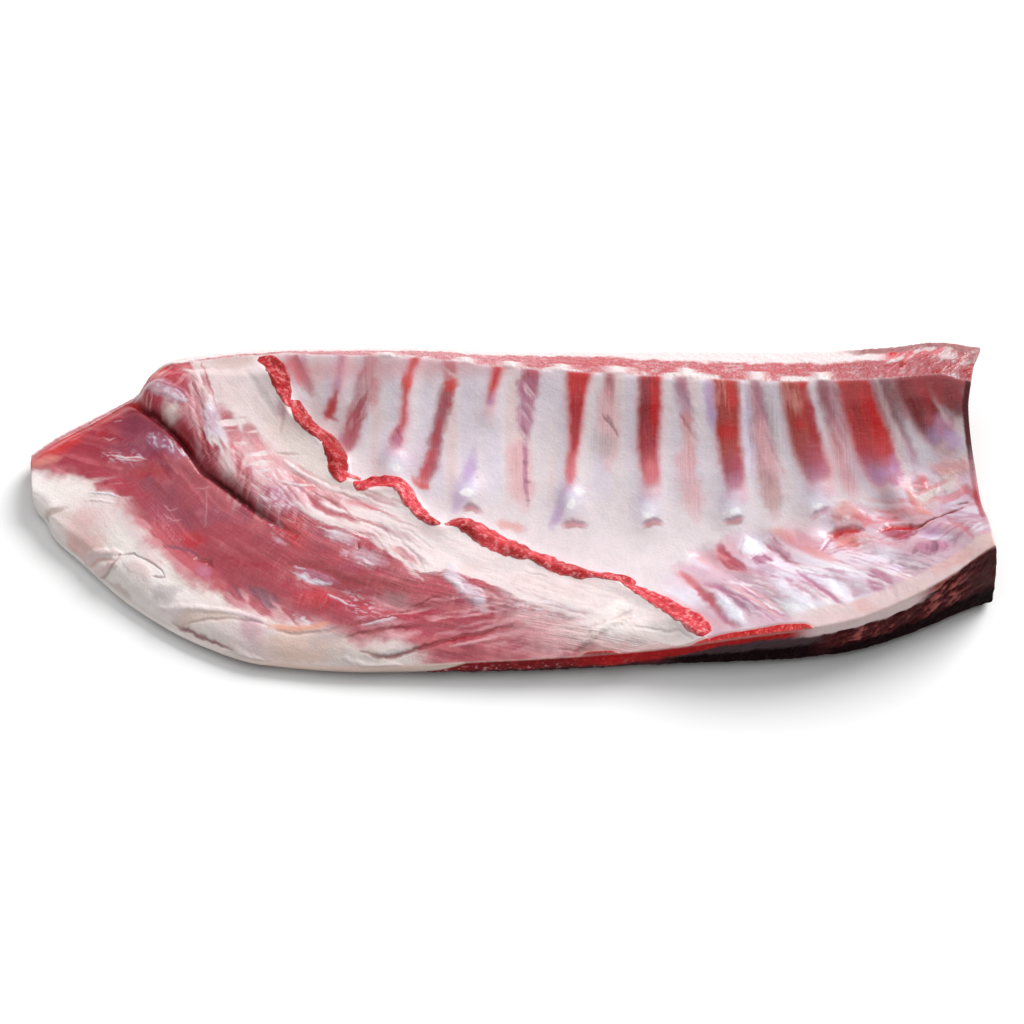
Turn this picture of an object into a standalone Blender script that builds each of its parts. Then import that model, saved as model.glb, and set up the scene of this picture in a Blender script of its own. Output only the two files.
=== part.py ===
"""Raw breast of lamb, one flat cut of ribs, brisket and flank, lying with its rib side up.

+X runs from the thin flank end to the thick brisket end, +Y from the sternum side to the sawn
rib ends, and +Z is up. The origin is on the table, under the middle of the cut. Lengths are in
millimetres and become metres when the mesh is filled.
"""

import bpy
import numpy as np

NAME = "lamb_breast"
MM = 0.001

# Outline of the cut, seen from above
FLANK_END = -207.0
BRISKET_END = 206.5
SAWN_EDGE = (  # (x, y) of the outer edge along the sawn rib ends
    (-210, 31), (-195, 45), (-172, 62), (-158, 69), (-141, 73.5), (-93, 77), (-45, 77),
    (0, 74), (85, 72.5), (127, 71), (165, 72), (184, 73.5), (207, 69),
)
STERNUM_EDGE = (  # (x, y) of the opposite edge, where the cut meets the table
    (-209, 8), (-204, 2), (-199, -7), (-185, -20), (-161, -43), (-130, -63), (-104, -72.5),
    (-58, -76.5), (0, -76), (54, -73.5), (112, -71), (140, -67.5), (162, -60.5), (191, -47),
    (207, -41),
)
END_LEAN = 0.7  # both end cuts lean, so their outlines are drawn against y + END_LEAN * z
BRISKET_OUTLINE = (  # (leaned y, x) of the sawn brisket end, hollow behind its middle
    (-42, 204.5), (-18, 201.5), (-4, 199.5), (9, 199.5), (25, 198), (46, 195.5), (64, 194.5),
    (74, 196), (86, 201), (97, 205.5),
)
FLANK_OUTLINE = ((2, -205.0), (40, -209.5))  # (leaned y, x) of the blunt flank end
END_BLEND = 26.0  # length over which the stations turn into the end outlines
SAWN_FACE_WIDTH = ((-207, 7), (-160, 8), (-60, 12), (0, 17), (60, 23), (110, 26), (207, 27))

# Heights (x, z) above the table along the cut, from the sternum side to the sawn ribs
STERNUM_LIP = ((-207, 9), (-110, 7), (-60, 8), (0, 10), (55, 14), (100, 24), (150, 31), (207, 46))
SHOULDER = ((-207, 11), (-150, 14), (-60, 12), (0, 11), (55, 14), (100, 22), (150, 30), (207, 41))
HOLLOW = (
    (-207, 12), (-165, 17), (-110, 15), (-60, 11), (0, 9.5), (55, 10), (100, 12), (150, 17), (207, 26),
)
RIB_SLOPE = (
    (-207, 12), (-165, 19), (-140, 24), (-60, 19), (0, 19), (55, 21), (100, 24), (150, 27), (207, 33),
)
SAWN_LIP = ((-207, 12), (-180, 14), (-165, 20), (-148, 32), (-105, 36), (0, 39), (55, 42), (207, 45))
SAWN_CORNER = ((-207, 8), (-175, 8.5), (-160, 14), (-142, 25), (-60, 28), (55, 31), (150, 35), (207, 40))
ROWS = (STERNUM_LIP, SHOULDER, HOLLOW, RIB_SLOPE, SAWN_LIP)
ROW_SHARES = np.array([0.0, 0.17, 0.45, 0.76, 1.0])  # where each row lies across the cut
UNDERSIDE_FLAT = ((-207, 24), (-150, 36), (0, 30), (207, 26))  # (x, y) where the flat base ends
STERNUM_TOE = ((-207, 2), (0, 2), (100, 4.5), (150, 5), (207, 3.5))  # lower rim of the front face
SAWN_ROUNDING = 1.25  # power that rounds the sawn face over
SIDE_ROUNDING = (1.15, 1.05)  # powers of the arc from the flat base to the sawn face, across and up
TOE_SLOPE = 1.6  # run over rise under the front face
TOE_RUN = 2.0
FRONT_SWELL = 1.2
EDGE_SHARES = (0.1, 0.09)  # shares of the width over which the relief fades in and out

# Ribs: (x at the sawn edge, x at the knuckle, y at the knuckle)
RIBS = (
    (-78, -82, 30), (-42, -54, 17), (-5, -20, 8), (29, 24, -1), (60, 58, -4),
    (93, 94, -4), (121, 130, 1), (146, 162, 7), (172, 186, 28),
)
RIB_TOP_Y = 54.0
RIB_WIDTH = 7.0
RIB_RISE = 1.6
KNUCKLE_RADIUS = 8.5
KNUCKLE_RISE = 1.8

# Diaphragm: its cut edge crosses the cut, and the flank side stands above the ribs
DIAPHRAGM = (
    (-112, 66), (-100, 48), (-92, 42), (-74, 21), (-71, 9), (-49, 5), (-39, -7),
    (-22, -13.5), (0, -25), (46, -40), (78, -67),
)
DIAPHRAGM_RISE = 5.5
DIAPHRAGM_SLOPE = 6.0
FLANK_THINS = (20, 75)  # distances from the cut edge between which the flank thins
FLANK_THINNED = 0.8
BEAD_WIDTH = 6.0
BEAD_RISE = 2.2

# Flank muscle: (points, width, depth) of each fold
FOLDS = (
    (((-169, 60), (-157, 45), (-138, 28), (-127, 10), (-107, -9), (-89, -28)), 6.5, 6.0),
    (((-93, -37), (-65, -47), (-37, -53), (5, -55)), 6.5, 2.4),
    (((-72, -67), (-40, -62), (0, -64), (45, -60)), 5.5, 1.6),
    (((-178, 20), (-150, 2), (-122, -38), (-92, -60)), 7.0, 1.2),
)
ROLL = ((-156, 66), (-140, 48), (-122, 26), (-100, 4), (-75, -14))  # swelling beside the first fold
ROLL_WIDTH = 13.0
ROLL_RISE = 4.0

# Sternum: grooves between the cartilages of the brisket
CARTILAGE_GROOVES = (
    ((82, -22), (98, -40), (112, -60)),
    ((106, -16), (124, -34), (142, -54)),
    ((136, -12), (152, -28), (166, -44)),
    ((160, -4), (172, -16), (184, -30)),
)
GROOVE_WIDTH = 6.0
GROOVE_DEPTH = 1.8

# Mesh density
STATIONS = 101
TOP_POINTS = 33
SAWN_POINTS = 3
SIDE_POINTS = 6
BASE_POINTS = 3
FACE_POINTS = 3


def curve(keys, at):
    """Smooth curve through (place, value) keys, without overshoot; arrays in, arrays out."""
    places, values = np.array(keys, float).T
    steps = np.diff(places)
    slopes = np.diff(values) / steps
    tangents = np.concatenate(([slopes[0]], np.zeros(len(slopes) - 1), [slopes[-1]]))
    same_way = slopes[:-1] * slopes[1:] > 0
    mean = 2 * slopes[:-1] * slopes[1:] / np.where(same_way, slopes[:-1] + slopes[1:], 1.0)
    tangents[1:-1] = np.where(same_way, mean, 0.0)
    at = np.clip(at, places[0], places[-1])
    i = np.clip(np.searchsorted(places, at) - 1, 0, len(steps) - 1)
    t = (at - places[i]) / steps[i]
    return (
        (1 + 2 * t) * (1 - t) ** 2 * values[i]
        + t * (1 - t) ** 2 * steps[i] * tangents[i]
        + t * t * (3 - 2 * t) * values[i + 1]
        - t * t * (1 - t) * steps[i] * tangents[i + 1]
    )


def across(shares, rows, at):
    """Smooth curve across the cut, through one value of each row at its share of the width."""
    rows = np.array(rows)
    slopes = np.diff(rows, axis=0) / np.diff(shares)[:, None]
    middle = (slopes[:-1] + slopes[1:]) / 2
    tangents = np.concatenate((slopes[:1], middle, slopes[-1:]))
    i = np.clip(np.searchsorted(shares, at) - 1, 0, len(shares) - 2)
    step = (shares[i + 1] - shares[i])[:, None]
    t = ((at - shares[i]) / (shares[i + 1] - shares[i]))[:, None]
    return (
        (1 + 2 * t) * (1 - t) ** 2 * rows[i]
        + t * (1 - t) ** 2 * step * tangents[i]
        + t * t * (3 - 2 * t) * rows[i + 1]
        - t * t * (1 - t) * step * tangents[i + 1]
    )


def along(points, x, y):
    """Signed distance to an open line of points, positive on its right, and the share along it."""
    points = np.array(points, float)
    starts = points[:-1]
    runs = np.diff(points, axis=0)
    lengths = np.hypot(runs[:, 0], runs[:, 1])
    before = np.concatenate(([0.0], np.cumsum(lengths)[:-1]))
    nearest = np.full(x.shape, np.inf)
    side = np.ones(x.shape)
    share = np.zeros(x.shape)
    for start, run, length, passed in zip(starts, runs, lengths, before):
        dx = x - start[0]
        dy = y - start[1]
        t = np.clip((dx * run[0] + dy * run[1]) / length**2, 0, 1)
        gap = np.hypot(dx - t * run[0], dy - t * run[1])
        closer = gap < nearest
        nearest = np.where(closer, gap, nearest)
        side = np.where(closer, np.sign(dx * run[1] - dy * run[0]), side)
        share = np.where(closer, (passed + t * length) / lengths.sum(), share)
    return nearest * side, share


def bump(distance, width):
    return np.exp(-((distance / width) ** 2))


def fade(value, low, high):
    t = np.clip((value - low) / (high - low), 0, 1)
    return t * t * (3 - 2 * t)


def rib_relief(x, y):
    """Rounded rib bones, each ending in the knuckle of its cartilage."""
    relief = np.zeros(x.shape)
    for rear_x, knuckle_x, knuckle_y in RIBS:
        gap, _ = along(((rear_x, RIB_TOP_Y), (knuckle_x, knuckle_y)), x, y)
        relief += RIB_RISE * bump(gap, RIB_WIDTH)
        knuckle = np.hypot(x - knuckle_x, y - knuckle_y)
        relief += KNUCKLE_RISE * bump(knuckle, KNUCKLE_RADIUS)
    return relief


def flank_relief(x, y):
    """Folds of the flank muscle and the swelling beside the deepest one."""
    relief = ROLL_RISE * bump(along(ROLL, x, y)[0], ROLL_WIDTH)
    for points, width, depth in FOLDS:
        gap, share = along(points, x, y)
        ends = fade(share, 0, 0.12) * fade(1 - share, 0, 0.2)
        relief -= depth * (0.25 + 0.75 * ends) * bump(gap, width)
    return relief


def relief_at(x, y, share):
    """Height that the ribs, diaphragm, folds and cartilages add to the plain top."""
    gap, _ = along(DIAPHRAGM, x, y)
    flank_side = fade(gap, -DIAPHRAGM_SLOPE, DIAPHRAGM_SLOPE)
    thinning = 1 - FLANK_THINNED * fade(gap, *FLANK_THINS)
    relief = DIAPHRAGM_RISE * flank_side * thinning
    relief += BEAD_RISE * bump(gap, BEAD_WIDTH)
    relief += (1 - flank_side) * rib_relief(x, y)
    relief += flank_side * flank_relief(x, y)
    for groove in CARTILAGE_GROOVES:
        relief -= GROOVE_DEPTH * bump(along(groove, x, y)[0], GROOVE_WIDTH)
    return relief * fade(share, 0, EDGE_SHARES[0]) * fade(1 - share, 0, EDGE_SHARES[1])


def top_of_section(x):
    """Points across the top of every station, as (stations, points) arrays of y and z."""
    outer_y = curve(SAWN_EDGE, x)
    front_y = curve(STERNUM_EDGE, x)
    width = np.minimum(curve(SAWN_FACE_WIDTH, x), 0.4 * (outer_y - front_y))
    shares = np.linspace(0, 1, TOP_POINTS)
    y = front_y[:, None] + shares * (outer_y - width - front_y)[:, None]
    z = across(ROW_SHARES, [curve(row, x) for row in ROWS], shares).T
    return y, z, shares


def ring(x):
    """Closed sections of all stations: y and z as (stations, points) arrays."""
    top_y, top_z, shares = top_of_section(x)
    wide_x = np.broadcast_to(x[:, None], top_y.shape)
    top_z = top_z + relief_at(to_outline(wide_x, top_y, top_z), top_y, shares)
    corner_y = curve(SAWN_EDGE, x)[:, None]
    corner_z = curve(SAWN_CORNER, x)[:, None]
    flat_y = curve(UNDERSIDE_FLAT, x)[:, None]
    toe_y = curve(STERNUM_EDGE, x)[:, None]
    toe_z = curve(STERNUM_TOE, x)[:, None]
    step = np.linspace(0, 1, SAWN_POINTS + 1)[1:]
    sawn_y = top_y[:, -1:] + (corner_y - top_y[:, -1:]) * step
    sawn_z = top_z[:, -1:] + (corner_z - top_z[:, -1:]) * step**SAWN_ROUNDING
    turn = np.linspace(0, np.pi / 2, SIDE_POINTS + 1)[1:]
    side_y = flat_y + (corner_y - flat_y) * np.cos(turn) ** SIDE_ROUNDING[0]
    side_z = corner_z * (1 - np.sin(turn)) ** SIDE_ROUNDING[1]
    base = np.linspace(0, 1, BASE_POINTS + 2)[1:-1]
    heel_y = toe_y + np.maximum(TOE_RUN, TOE_SLOPE * toe_z)
    base_y = flat_y + (heel_y - flat_y) * base
    heel_z = np.zeros_like(heel_y)
    rise = np.linspace(0, 1, FACE_POINTS + 2)[:-1]
    face_y = toe_y + (top_y[:, :1] - toe_y) * rise - FRONT_SWELL * np.sin(np.pi * rise)
    face_z = toe_z + (top_z[:, :1] - toe_z) * rise
    y = np.hstack((top_y, sawn_y, side_y, base_y, heel_y, face_y))
    z = np.hstack((top_z, sawn_z, side_z, 0 * base_y, heel_z, face_z))
    return y, z


def to_outline(x, y, z):
    """Moves stations near the two ends onto the end outlines."""
    leaned = y + END_LEAN * z
    brisket = fade(x, BRISKET_END - END_BLEND, BRISKET_END)
    flank = fade(-x, -FLANK_END - END_BLEND, -FLANK_END)
    return (
        x
        + brisket * (curve(BRISKET_OUTLINE, leaned) - BRISKET_END)
        + flank * (curve(FLANK_OUTLINE, leaned) - FLANK_END)
    )


def breast_mesh():
    """Lofts the sections from the flank end to the brisket end and caps both."""
    x = np.linspace(FLANK_END, BRISKET_END, STATIONS)
    y, z = ring(x)
    x = to_outline(np.broadcast_to(x[:, None], y.shape), y, z)
    around = y.shape[1]
    faces = []
    for i in range(STATIONS - 1):
        for j in range(around):
            k = (j + 1) % around
            a, b, c, d = (n * around + m for n, m in ((i, j), (i + 1, j), (i + 1, k), (i, k)))
            if abs(z[i, j] - z[i + 1, k]) < abs(z[i + 1, j] - z[i, k]):
                faces += [(a, b, c), (a, c, d)]
            else:
                faces += [(a, b, d), (b, c, d)]
    last = (STATIONS - 1) * around
    faces.append(tuple(range(around)))
    faces.append(tuple(range(last + around - 1, last - 1, -1)))
    points = np.stack((x, y, z), axis=-1).reshape(-1, 3)
    points[:, :2] -= (points[:, :2].min(axis=0) + points[:, :2].max(axis=0)) / 2
    mesh = bpy.data.meshes.new(NAME)
    mesh.from_pydata((points * MM).tolist(), [], faces)
    mesh.validate()
    return mesh


def raw_meat():
    """Wet pink muscle under pale fat and membrane."""
    material = bpy.data.materials.new("raw_meat")
    material.use_nodes = True
    shader = material.node_tree.nodes["Principled BSDF"]
    shader.inputs["Base Color"].default_value = (0.66, 0.36, 0.35, 1)
    shader.inputs["Roughness"].default_value = 0.4
    shader.inputs["Metallic"].default_value = 0.0
    material.diffuse_color = (0.66, 0.36, 0.35, 1)
    return material


def main():
    for old in list(bpy.data.objects):
        bpy.data.objects.remove(old, do_unlink=True)
    collection = bpy.data.collections.new("Lamb breast")
    bpy.context.scene.collection.children.link(collection)
    breast = bpy.data.objects.new(NAME, breast_mesh())
    breast.data.materials.append(raw_meat())
    collection.objects.link(breast)


main()
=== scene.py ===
"""Raw breast of lamb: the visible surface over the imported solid, with light, floor and camera.

Plan places are millimetres from the middle of the cut: x runs from the thin flank end to the
brisket, y from the sternum side to the sawn rib ends. Colours are sRGB, 0 to 255. The body is
one grid of closed sections. Tables of short lines say where its points are painted and raised,
and one material adds the fibres, grain and gloss.
"""

import bpy
import numpy as np
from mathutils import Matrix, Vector
from mathutils.bvhtree import BVHTree


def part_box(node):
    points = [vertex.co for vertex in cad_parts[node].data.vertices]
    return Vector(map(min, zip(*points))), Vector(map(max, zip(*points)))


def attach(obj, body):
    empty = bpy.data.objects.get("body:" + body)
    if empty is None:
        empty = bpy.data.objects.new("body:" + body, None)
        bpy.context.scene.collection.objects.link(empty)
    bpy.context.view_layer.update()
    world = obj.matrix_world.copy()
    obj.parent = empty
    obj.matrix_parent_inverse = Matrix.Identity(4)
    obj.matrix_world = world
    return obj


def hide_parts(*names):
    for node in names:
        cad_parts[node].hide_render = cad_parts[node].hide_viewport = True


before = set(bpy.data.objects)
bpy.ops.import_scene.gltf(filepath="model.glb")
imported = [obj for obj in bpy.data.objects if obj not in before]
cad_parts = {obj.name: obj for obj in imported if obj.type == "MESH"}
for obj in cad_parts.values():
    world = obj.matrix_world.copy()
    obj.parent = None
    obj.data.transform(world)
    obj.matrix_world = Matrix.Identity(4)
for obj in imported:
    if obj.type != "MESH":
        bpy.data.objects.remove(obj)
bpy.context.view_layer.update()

MM = 0.001
NODE = "lamb_breast"

# ---------------------------------------------------------------- form of the cut
FLANK_END = -207.0
BRISKET_END = 206.5
SAWN_EDGE = (  # (x, y) of the outer edge along the sawn rib ends
    (-210, 31), (-195, 45), (-172, 60.5), (-164, 64), (-159, 69), (-152, 72), (-141, 73.5),
    (-93, 77), (-45, 77), (0, 74), (85, 72.5), (127, 71), (165, 72), (184, 73.5), (207, 69),
)
STERNUM_EDGE = (  # (x, y) of the opposite edge, where the cut meets the table
    (-209, 8), (-204, 2), (-199, -7), (-185, -20), (-161, -43), (-130, -63), (-104, -72.5),
    (-58, -76.5), (0, -76), (54, -73.5), (112, -71), (140, -67.5), (162, -60.5), (191, -47),
    (207, -41),
)
END_LEAN = 0.7  # both end cuts lean, so their outlines are drawn against y + END_LEAN * z
BRISKET_OUTLINE = (  # (leaned y, x) of the sawn brisket end, hollow behind its middle
    (-42, 204.5), (-18, 201.5), (-4, 199.5), (9, 199.5), (25, 198.8), (46, 197), (64, 196.2),
    (74, 197.2), (86, 200.2), (97, 205.4),
)
FLANK_OUTLINE = ((2, -205.0), (40, -209.5))  # (leaned y, x) of the blunt flank end
END_BLEND = 26.0  # length over which the stations turn into the end outlines
SAWN_FACE_WIDTH = (
    (-207, 7), (-160, 8), (-60, 12), (0, 17), (60, 23), (110, 25.5), (160, 25), (207, 24.5),
)
SAWN_FACE_SHARE = 0.4  # largest share of the width that the sawn face takes
SAWN_ROUNDING = 1.25  # power that rounds the sawn face over
SIDE_ROUNDING = (1.15, 1.05)  # powers of the arc below the sawn face, across and up
TOE_RUN = 2.0  # least run under the front face
TOE_SLOPE = 2.2  # run over rise under the front face
FRONT_SWELL = 1.2
CORNER_PASSES = 10  # how often the corners of the sections are softened

# Heights above the table, as (x, height) along the cut, from the sternum side to the sawn ribs
STERNUM_TOE = (
    (-207, 2.5), (-150, 3.5), (-60, 4), (0, 4), (100, 5), (150, 5), (207, 3.5),
)
STERNUM_LIP = (
    (-207, 5), (-110, 6), (-60, 7.5), (-20, 10.5), (0, 12), (55, 15), (100, 24), (150, 31),
    (207, 46),
)
LIP_RISE = (
    (-207, 8.5), (-110, 10), (-60, 10.8), (0, 12.4), (55, 15), (100, 23.5), (150, 31), (207, 45),
)
SHOULDER = (
    (-207, 11), (-150, 14), (-60, 13), (0, 12.5), (55, 14.5), (100, 22), (150, 30), (207, 41),
)
HOLLOW = (
    (-207, 12), (-165, 17), (-110, 15), (-60, 11), (0, 9.5), (55, 10), (100, 12), (150, 17),
    (207, 26),
)
RIB_SLOPE = (
    (-207, 12), (-165, 19), (-140, 24), (-60, 19), (0, 19), (55, 21), (100, 24), (150, 27),
    (207, 33),
)
SAWN_LIP = (
    (-207, 12), (-180, 14), (-167, 18), (-158, 27), (-148, 32), (-105, 36), (0, 39), (55, 42),
    (207, 45),
)
SAWN_CORNER = (
    (-207, 8), (-175, 8.5), (-165, 11), (-157, 20), (-142, 26), (-60, 28), (55, 31), (150, 35),
    (207, 40),
)
ROWS = (STERNUM_LIP, LIP_RISE, SHOULDER, HOLLOW, RIB_SLOPE, SAWN_LIP)
ROW_SHARES = np.array([0.0, 0.04, 0.17, 0.45, 0.76, 1.0])  # where each row lies across the top
UNDERSIDE_FLAT = ((-207, 24), (-150, 36), (0, 30), (207, 26))  # (x, y) where the flat base ends

# Points of each section and number of sections: about 0.45 mm apart on the side that shows
STATIONS = 900
TOP_POINTS = 286
SAWN_POINTS = 38
SIDE_POINTS = 16
BASE_POINTS = 22
FACE_POINTS = 38
CAP_SHARES = (0.012, 0.03, 0.06, 0.1, 0.15, 0.21, 0.28, 0.36, 0.45, 0.55, 0.66, 0.78, 0.9, 1.0)
CAP_BULGE = 0.8
SLICES = 4  # pieces that the body is cut into, across its length

# ---------------------------------------------------------------- colours
PAINT_SHARE = 0.79  # the rest of each colour comes from gloss and strong light
ROSE = (172, 60, 77)
DEEP_ROSE = (156, 44, 60)
DUSK = (146, 60, 86)
CARMINE = (174, 38, 50)
CLARET = (134, 16, 26)
BLOOD = (196, 8, 10)
# The next colour is dark red lines, pores and patches, and also painted shade in the deepest fold and
# along the foot of the front face.
DARK_RED_AND_SHADE = (64, 4, 9)
SCARLET = (212, 52, 48)
SALMON = (224, 142, 130)
BRICK = (176, 60, 52)
UMBER = (128, 40, 44)
PLUM = (122, 74, 94)
MAUVE = (186, 118, 148)
VIOLET = (190, 156, 202)
LILAC = (220, 210, 224)
HEATHER = (214, 176, 192)
# The next colour is the white of membrane lines and of most painted highlights; the one after it
# paints only glints.
ICE = (240, 238, 250)
WHITE_GLINT = (255, 254, 255)
PINK = (220, 116, 124)
PALE_PINK = (230, 172, 178)
BLUSH = (230, 204, 204)
MEMBRANE = (228, 216, 220)
# The next colour is white fat, and also a few painted glints.
WHITE_FAT_AND_GLINT = (238, 222, 222)
CREAM = (226, 212, 206)
PORCELAIN = (250, 242, 238)
PEACH = (228, 198, 184)
APRICOT = (232, 154, 122)
# The next colour is grey fat, and also painted shade and painted sheen in a few marks.
GREY_FAT_SHADE_AND_SHEEN = (194, 182, 184)
BUFF = (168, 132, 120)
SKIN = (170, 112, 114)
GARNET = (84, 14, 18)
# The next colour is the face below the red meat under the brisket, painted in shade.
DUSKY = (60, 32, 40)
CRUMB = (190, 100, 92)
# The next colour is near-black painted shadow at the foot of the front face.
SHADOW_BLACK = (22, 5, 8)

# ---------------------------------------------------------------- features, as (x, y) in plan
DIAPHRAGM = (  # cut edge of the diaphragm, with the ribs on one side and the flank on the other
    (-112, 68), (-101, 54), (-95, 42), (-84, 33), (-73, 21), (-72, 13), (-60, 9), (-48, 10),
    (-39, -4), (-28, -9), (-20, -7), (-5, -16), (19, -29), (44, -37), (58, -49), (80, -69),
)
FASCIA_EDGE = (  # white sheet above, rose muscle below
    (-140, 66), (-133, 44), (-126, 26), (-118, 14), (-107, 4), (-94, -5), (-77, -11),
    (-59, -16), (-52, -24), (-38, -34), (-26, -34), (-12, -40), (4, -49), (21, -58), (48, -66),
)
MUSCLE_EDGE = (  # rose muscle above, cream fat below
    (-212, 21), (-192, 18.5), (-185, 13.5), (-178, 10.5), (-171, 4), (-164.5, -1), (-158.5, -11),
    (-153.5, -20), (-147, -27), (-137, -36), (-127, -42), (-112, -47), (-98, -52), (-88, -56),
    (-74, -58), (-64, -65), (-46, -66), (-38, -72), (-26, -80),
)
FLANK_GRAIN = (  # line that the fibres of the flank follow
    (-190, 60), (-150, 40), (-120, 2), (-85, -22), (-40, -40), (10, -52), (60, -62),
)
STERNUM_PLATE = (  # edge of the lilac cartilage along the sternum
    (58, -60), (66, -36), (78, -22), (92, -14), (108, -12), (124, -12), (138, -4), (158, -2),
    (170, 10), (182, 15), (206, 18),
)

# Each rib: tone at the top, tone at the foot, and (x, y, half-width) from the sawn edge down
RIBS = (
    (MAUVE, MAUVE, ((-74, 67, 1.6), (-75, 58, 1.6), (-77, 49, 1.0))),
    (BLOOD, MAUVE, ((-42, 66, 2.0), (-44, 58, 1.6), (-46, 50, 1.2), (-47, 38, 1.3), (-50, 31, 2.3),
                    (-51, 26, 1.6))),
    (BLOOD, VIOLET, ((-4, 63, 2.6), (-6, 56, 2.2), (-8, 50, 1.6), (-10, 42, 1.0))),
    (BLOOD, PINK, ((30, 58, 6.4), (29, 50, 4.8), (28, 40, 3.3), (27, 27, 2.0), (26, 18, 1.4),
                   (25, 8, 1.0))),
    (CARMINE, PINK, ((61, 58, 4.8), (60, 40, 4.9), (59, 25, 4.4), (60, 14, 3.6), (60, 7, 2.8))),
    (BRICK, MAUVE, ((91.5, 52, 5.6), (93, 38, 5.4), (94, 24, 4.8), (96, 12, 4.0), (97, 4, 3.2))),
    (BRICK, MAUVE, ((121, 52, 5.6), (123, 38, 5.4), (127, 24, 6.0), (131, 13, 5.6), (133, 6, 4.2))),
    (BLOOD, VIOLET, ((146, 52, 6.4), (150, 38, 7.0), (155, 24, 8.2), (160, 13, 7.0), (163, 5, 4.0))),
    (CLARET, VIOLET, ((170, 52, 6.0), (174, 42, 6.2), (180, 32, 6.0), (185, 26, 5.0), (187, 22, 3.8))),
)
KNUCKLES = (  # (x, y) where the bone of a rib meets its cartilage
    (-51, 19), (-19, 8), (26, 2), (59, -3), (95, -3), (131, -2), (166, 1),
)
INTERCOSTALS = (  # (tone, strength, half-width, points)
    (ROSE, 0.6, 3.0, ((-61, 67), (-63, 58), (-65, 54))),
    (ROSE, 0.95, 4.0, ((-64, 56), (-67, 45), (-69, 38))),
    (DEEP_ROSE, 0.7, 2.4, ((-65, 56), (-66, 46), (-68, 38))),
    (ROSE, 0.8, 3.8, ((-69, 40), (-71, 32), (-73, 26))),
    (CARMINE, 0.5, 2.4, ((-69, 40), (-71, 33))),
    (MAUVE, 0.6, 1.5, ((-74, 34), (-75, 24), (-73, 18))),
    (PINK, 0.5, 3.0, ((-60, 54), (-61, 44))),
    (ROSE, 0.7, 3.4, ((-26, 67), (-27, 58), (-28, 54))),
    (DEEP_ROSE, 0.9, 3.3, ((-28, 50), (-31, 40), (-33, 30))),
    (DEEP_ROSE, 0.9, 3.6, ((-33, 32), (-35, 22), (-38, 12))),
    (SCARLET, 0.65, 2.4, ((-35, 26), (-38, 16), (-39, 11))),
    (SCARLET, 0.75, 1.6, ((-37, 11), (-41, 13), (-43, 16))),
    (ROSE, 0.95, 4.6, ((9, 60), (8, 52), (7, 44))),
    (MAUVE, 0.9, 3.5, ((7, 50), (6, 38), (6, 30))),
    (PALE_PINK, 0.7, 5.0, ((3, 26), (4, 14), (6, 2))),
    (MAUVE, 0.85, 1.0, ((6, 34), (6, 18), (7, 3))),
    (ROSE, 0.8, 2.6, ((42, 57), (42, 50), (43, 42))),
    (PALE_PINK, 0.7, 4.5, ((40, 44), (42, 30), (42, 18))),
    # Grey patch: painted shade.
    (GREY_FAT_SHADE_AND_SHEEN, 0.6, 5.0, ((38, 28), (44, 24))),
    (ROSE, 0.7, 2.0, ((72, 50), (76, 44))),
    (MAUVE, 0.7, 3.0, ((73, 46), (76, 38), (77, 30))),
    (SALMON, 0.55, 3.0, ((76, 34), (77, 26), (78, 16))),
    (PALE_PINK, 0.7, 5.0, ((75, 20), (78, 6), (80, -4))),
    (MAUVE, 0.75, 4.2, ((103, 48), (106, 38), (108, 28))),
    (ROSE, 0.35, 4.4, ((104, 42), (108, 26), (111, 10))),
    (PALE_PINK, 0.8, 5.4, ((107, 28), (111, 12), (113, -4))),
    (BUFF, 0.4, 5.0, ((111, 8), (114, -4))),
    (PLUM, 0.8, 3.0, ((114, 52), (115, 44), (117, 36))),
    (GREY_FAT_SHADE_AND_SHEEN, 0.7, 3.4, ((112, 38), (115, 28), (118, 20))),
    (ROSE, 0.75, 3.4, ((133, 49), (137, 38), (139, 32))),
    (MAUVE, 0.7, 3.0, ((138, 36), (142, 24), (144, 16))),
    (PALE_PINK, 0.8, 4.5, ((141, 24), (144, 14), (147, 2))),
    (PLUM, 0.9, 5.2, ((157, 48), (163, 36), (168, 26))),
    (UMBER, 0.4, 2.4, ((163, 38), (168, 28))),
    (MAUVE, 0.7, 3.6, ((168, 27), (171, 20), (174, 14))),
    (GREY_FAT_SHADE_AND_SHEEN, 0.7, 1.8, ((165, 48), (171, 36), (176, 26))),
    (MAUVE, 0.7, 2.0, ((180, 48), (186, 38), (190, 32))),
    (PLUM, 0.8, 3.0, ((186, 46), (191, 40), (196, 34))),
    (DUSK, 0.7, 3.4, ((133, 52), (136, 42), (139, 34))),
)
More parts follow.
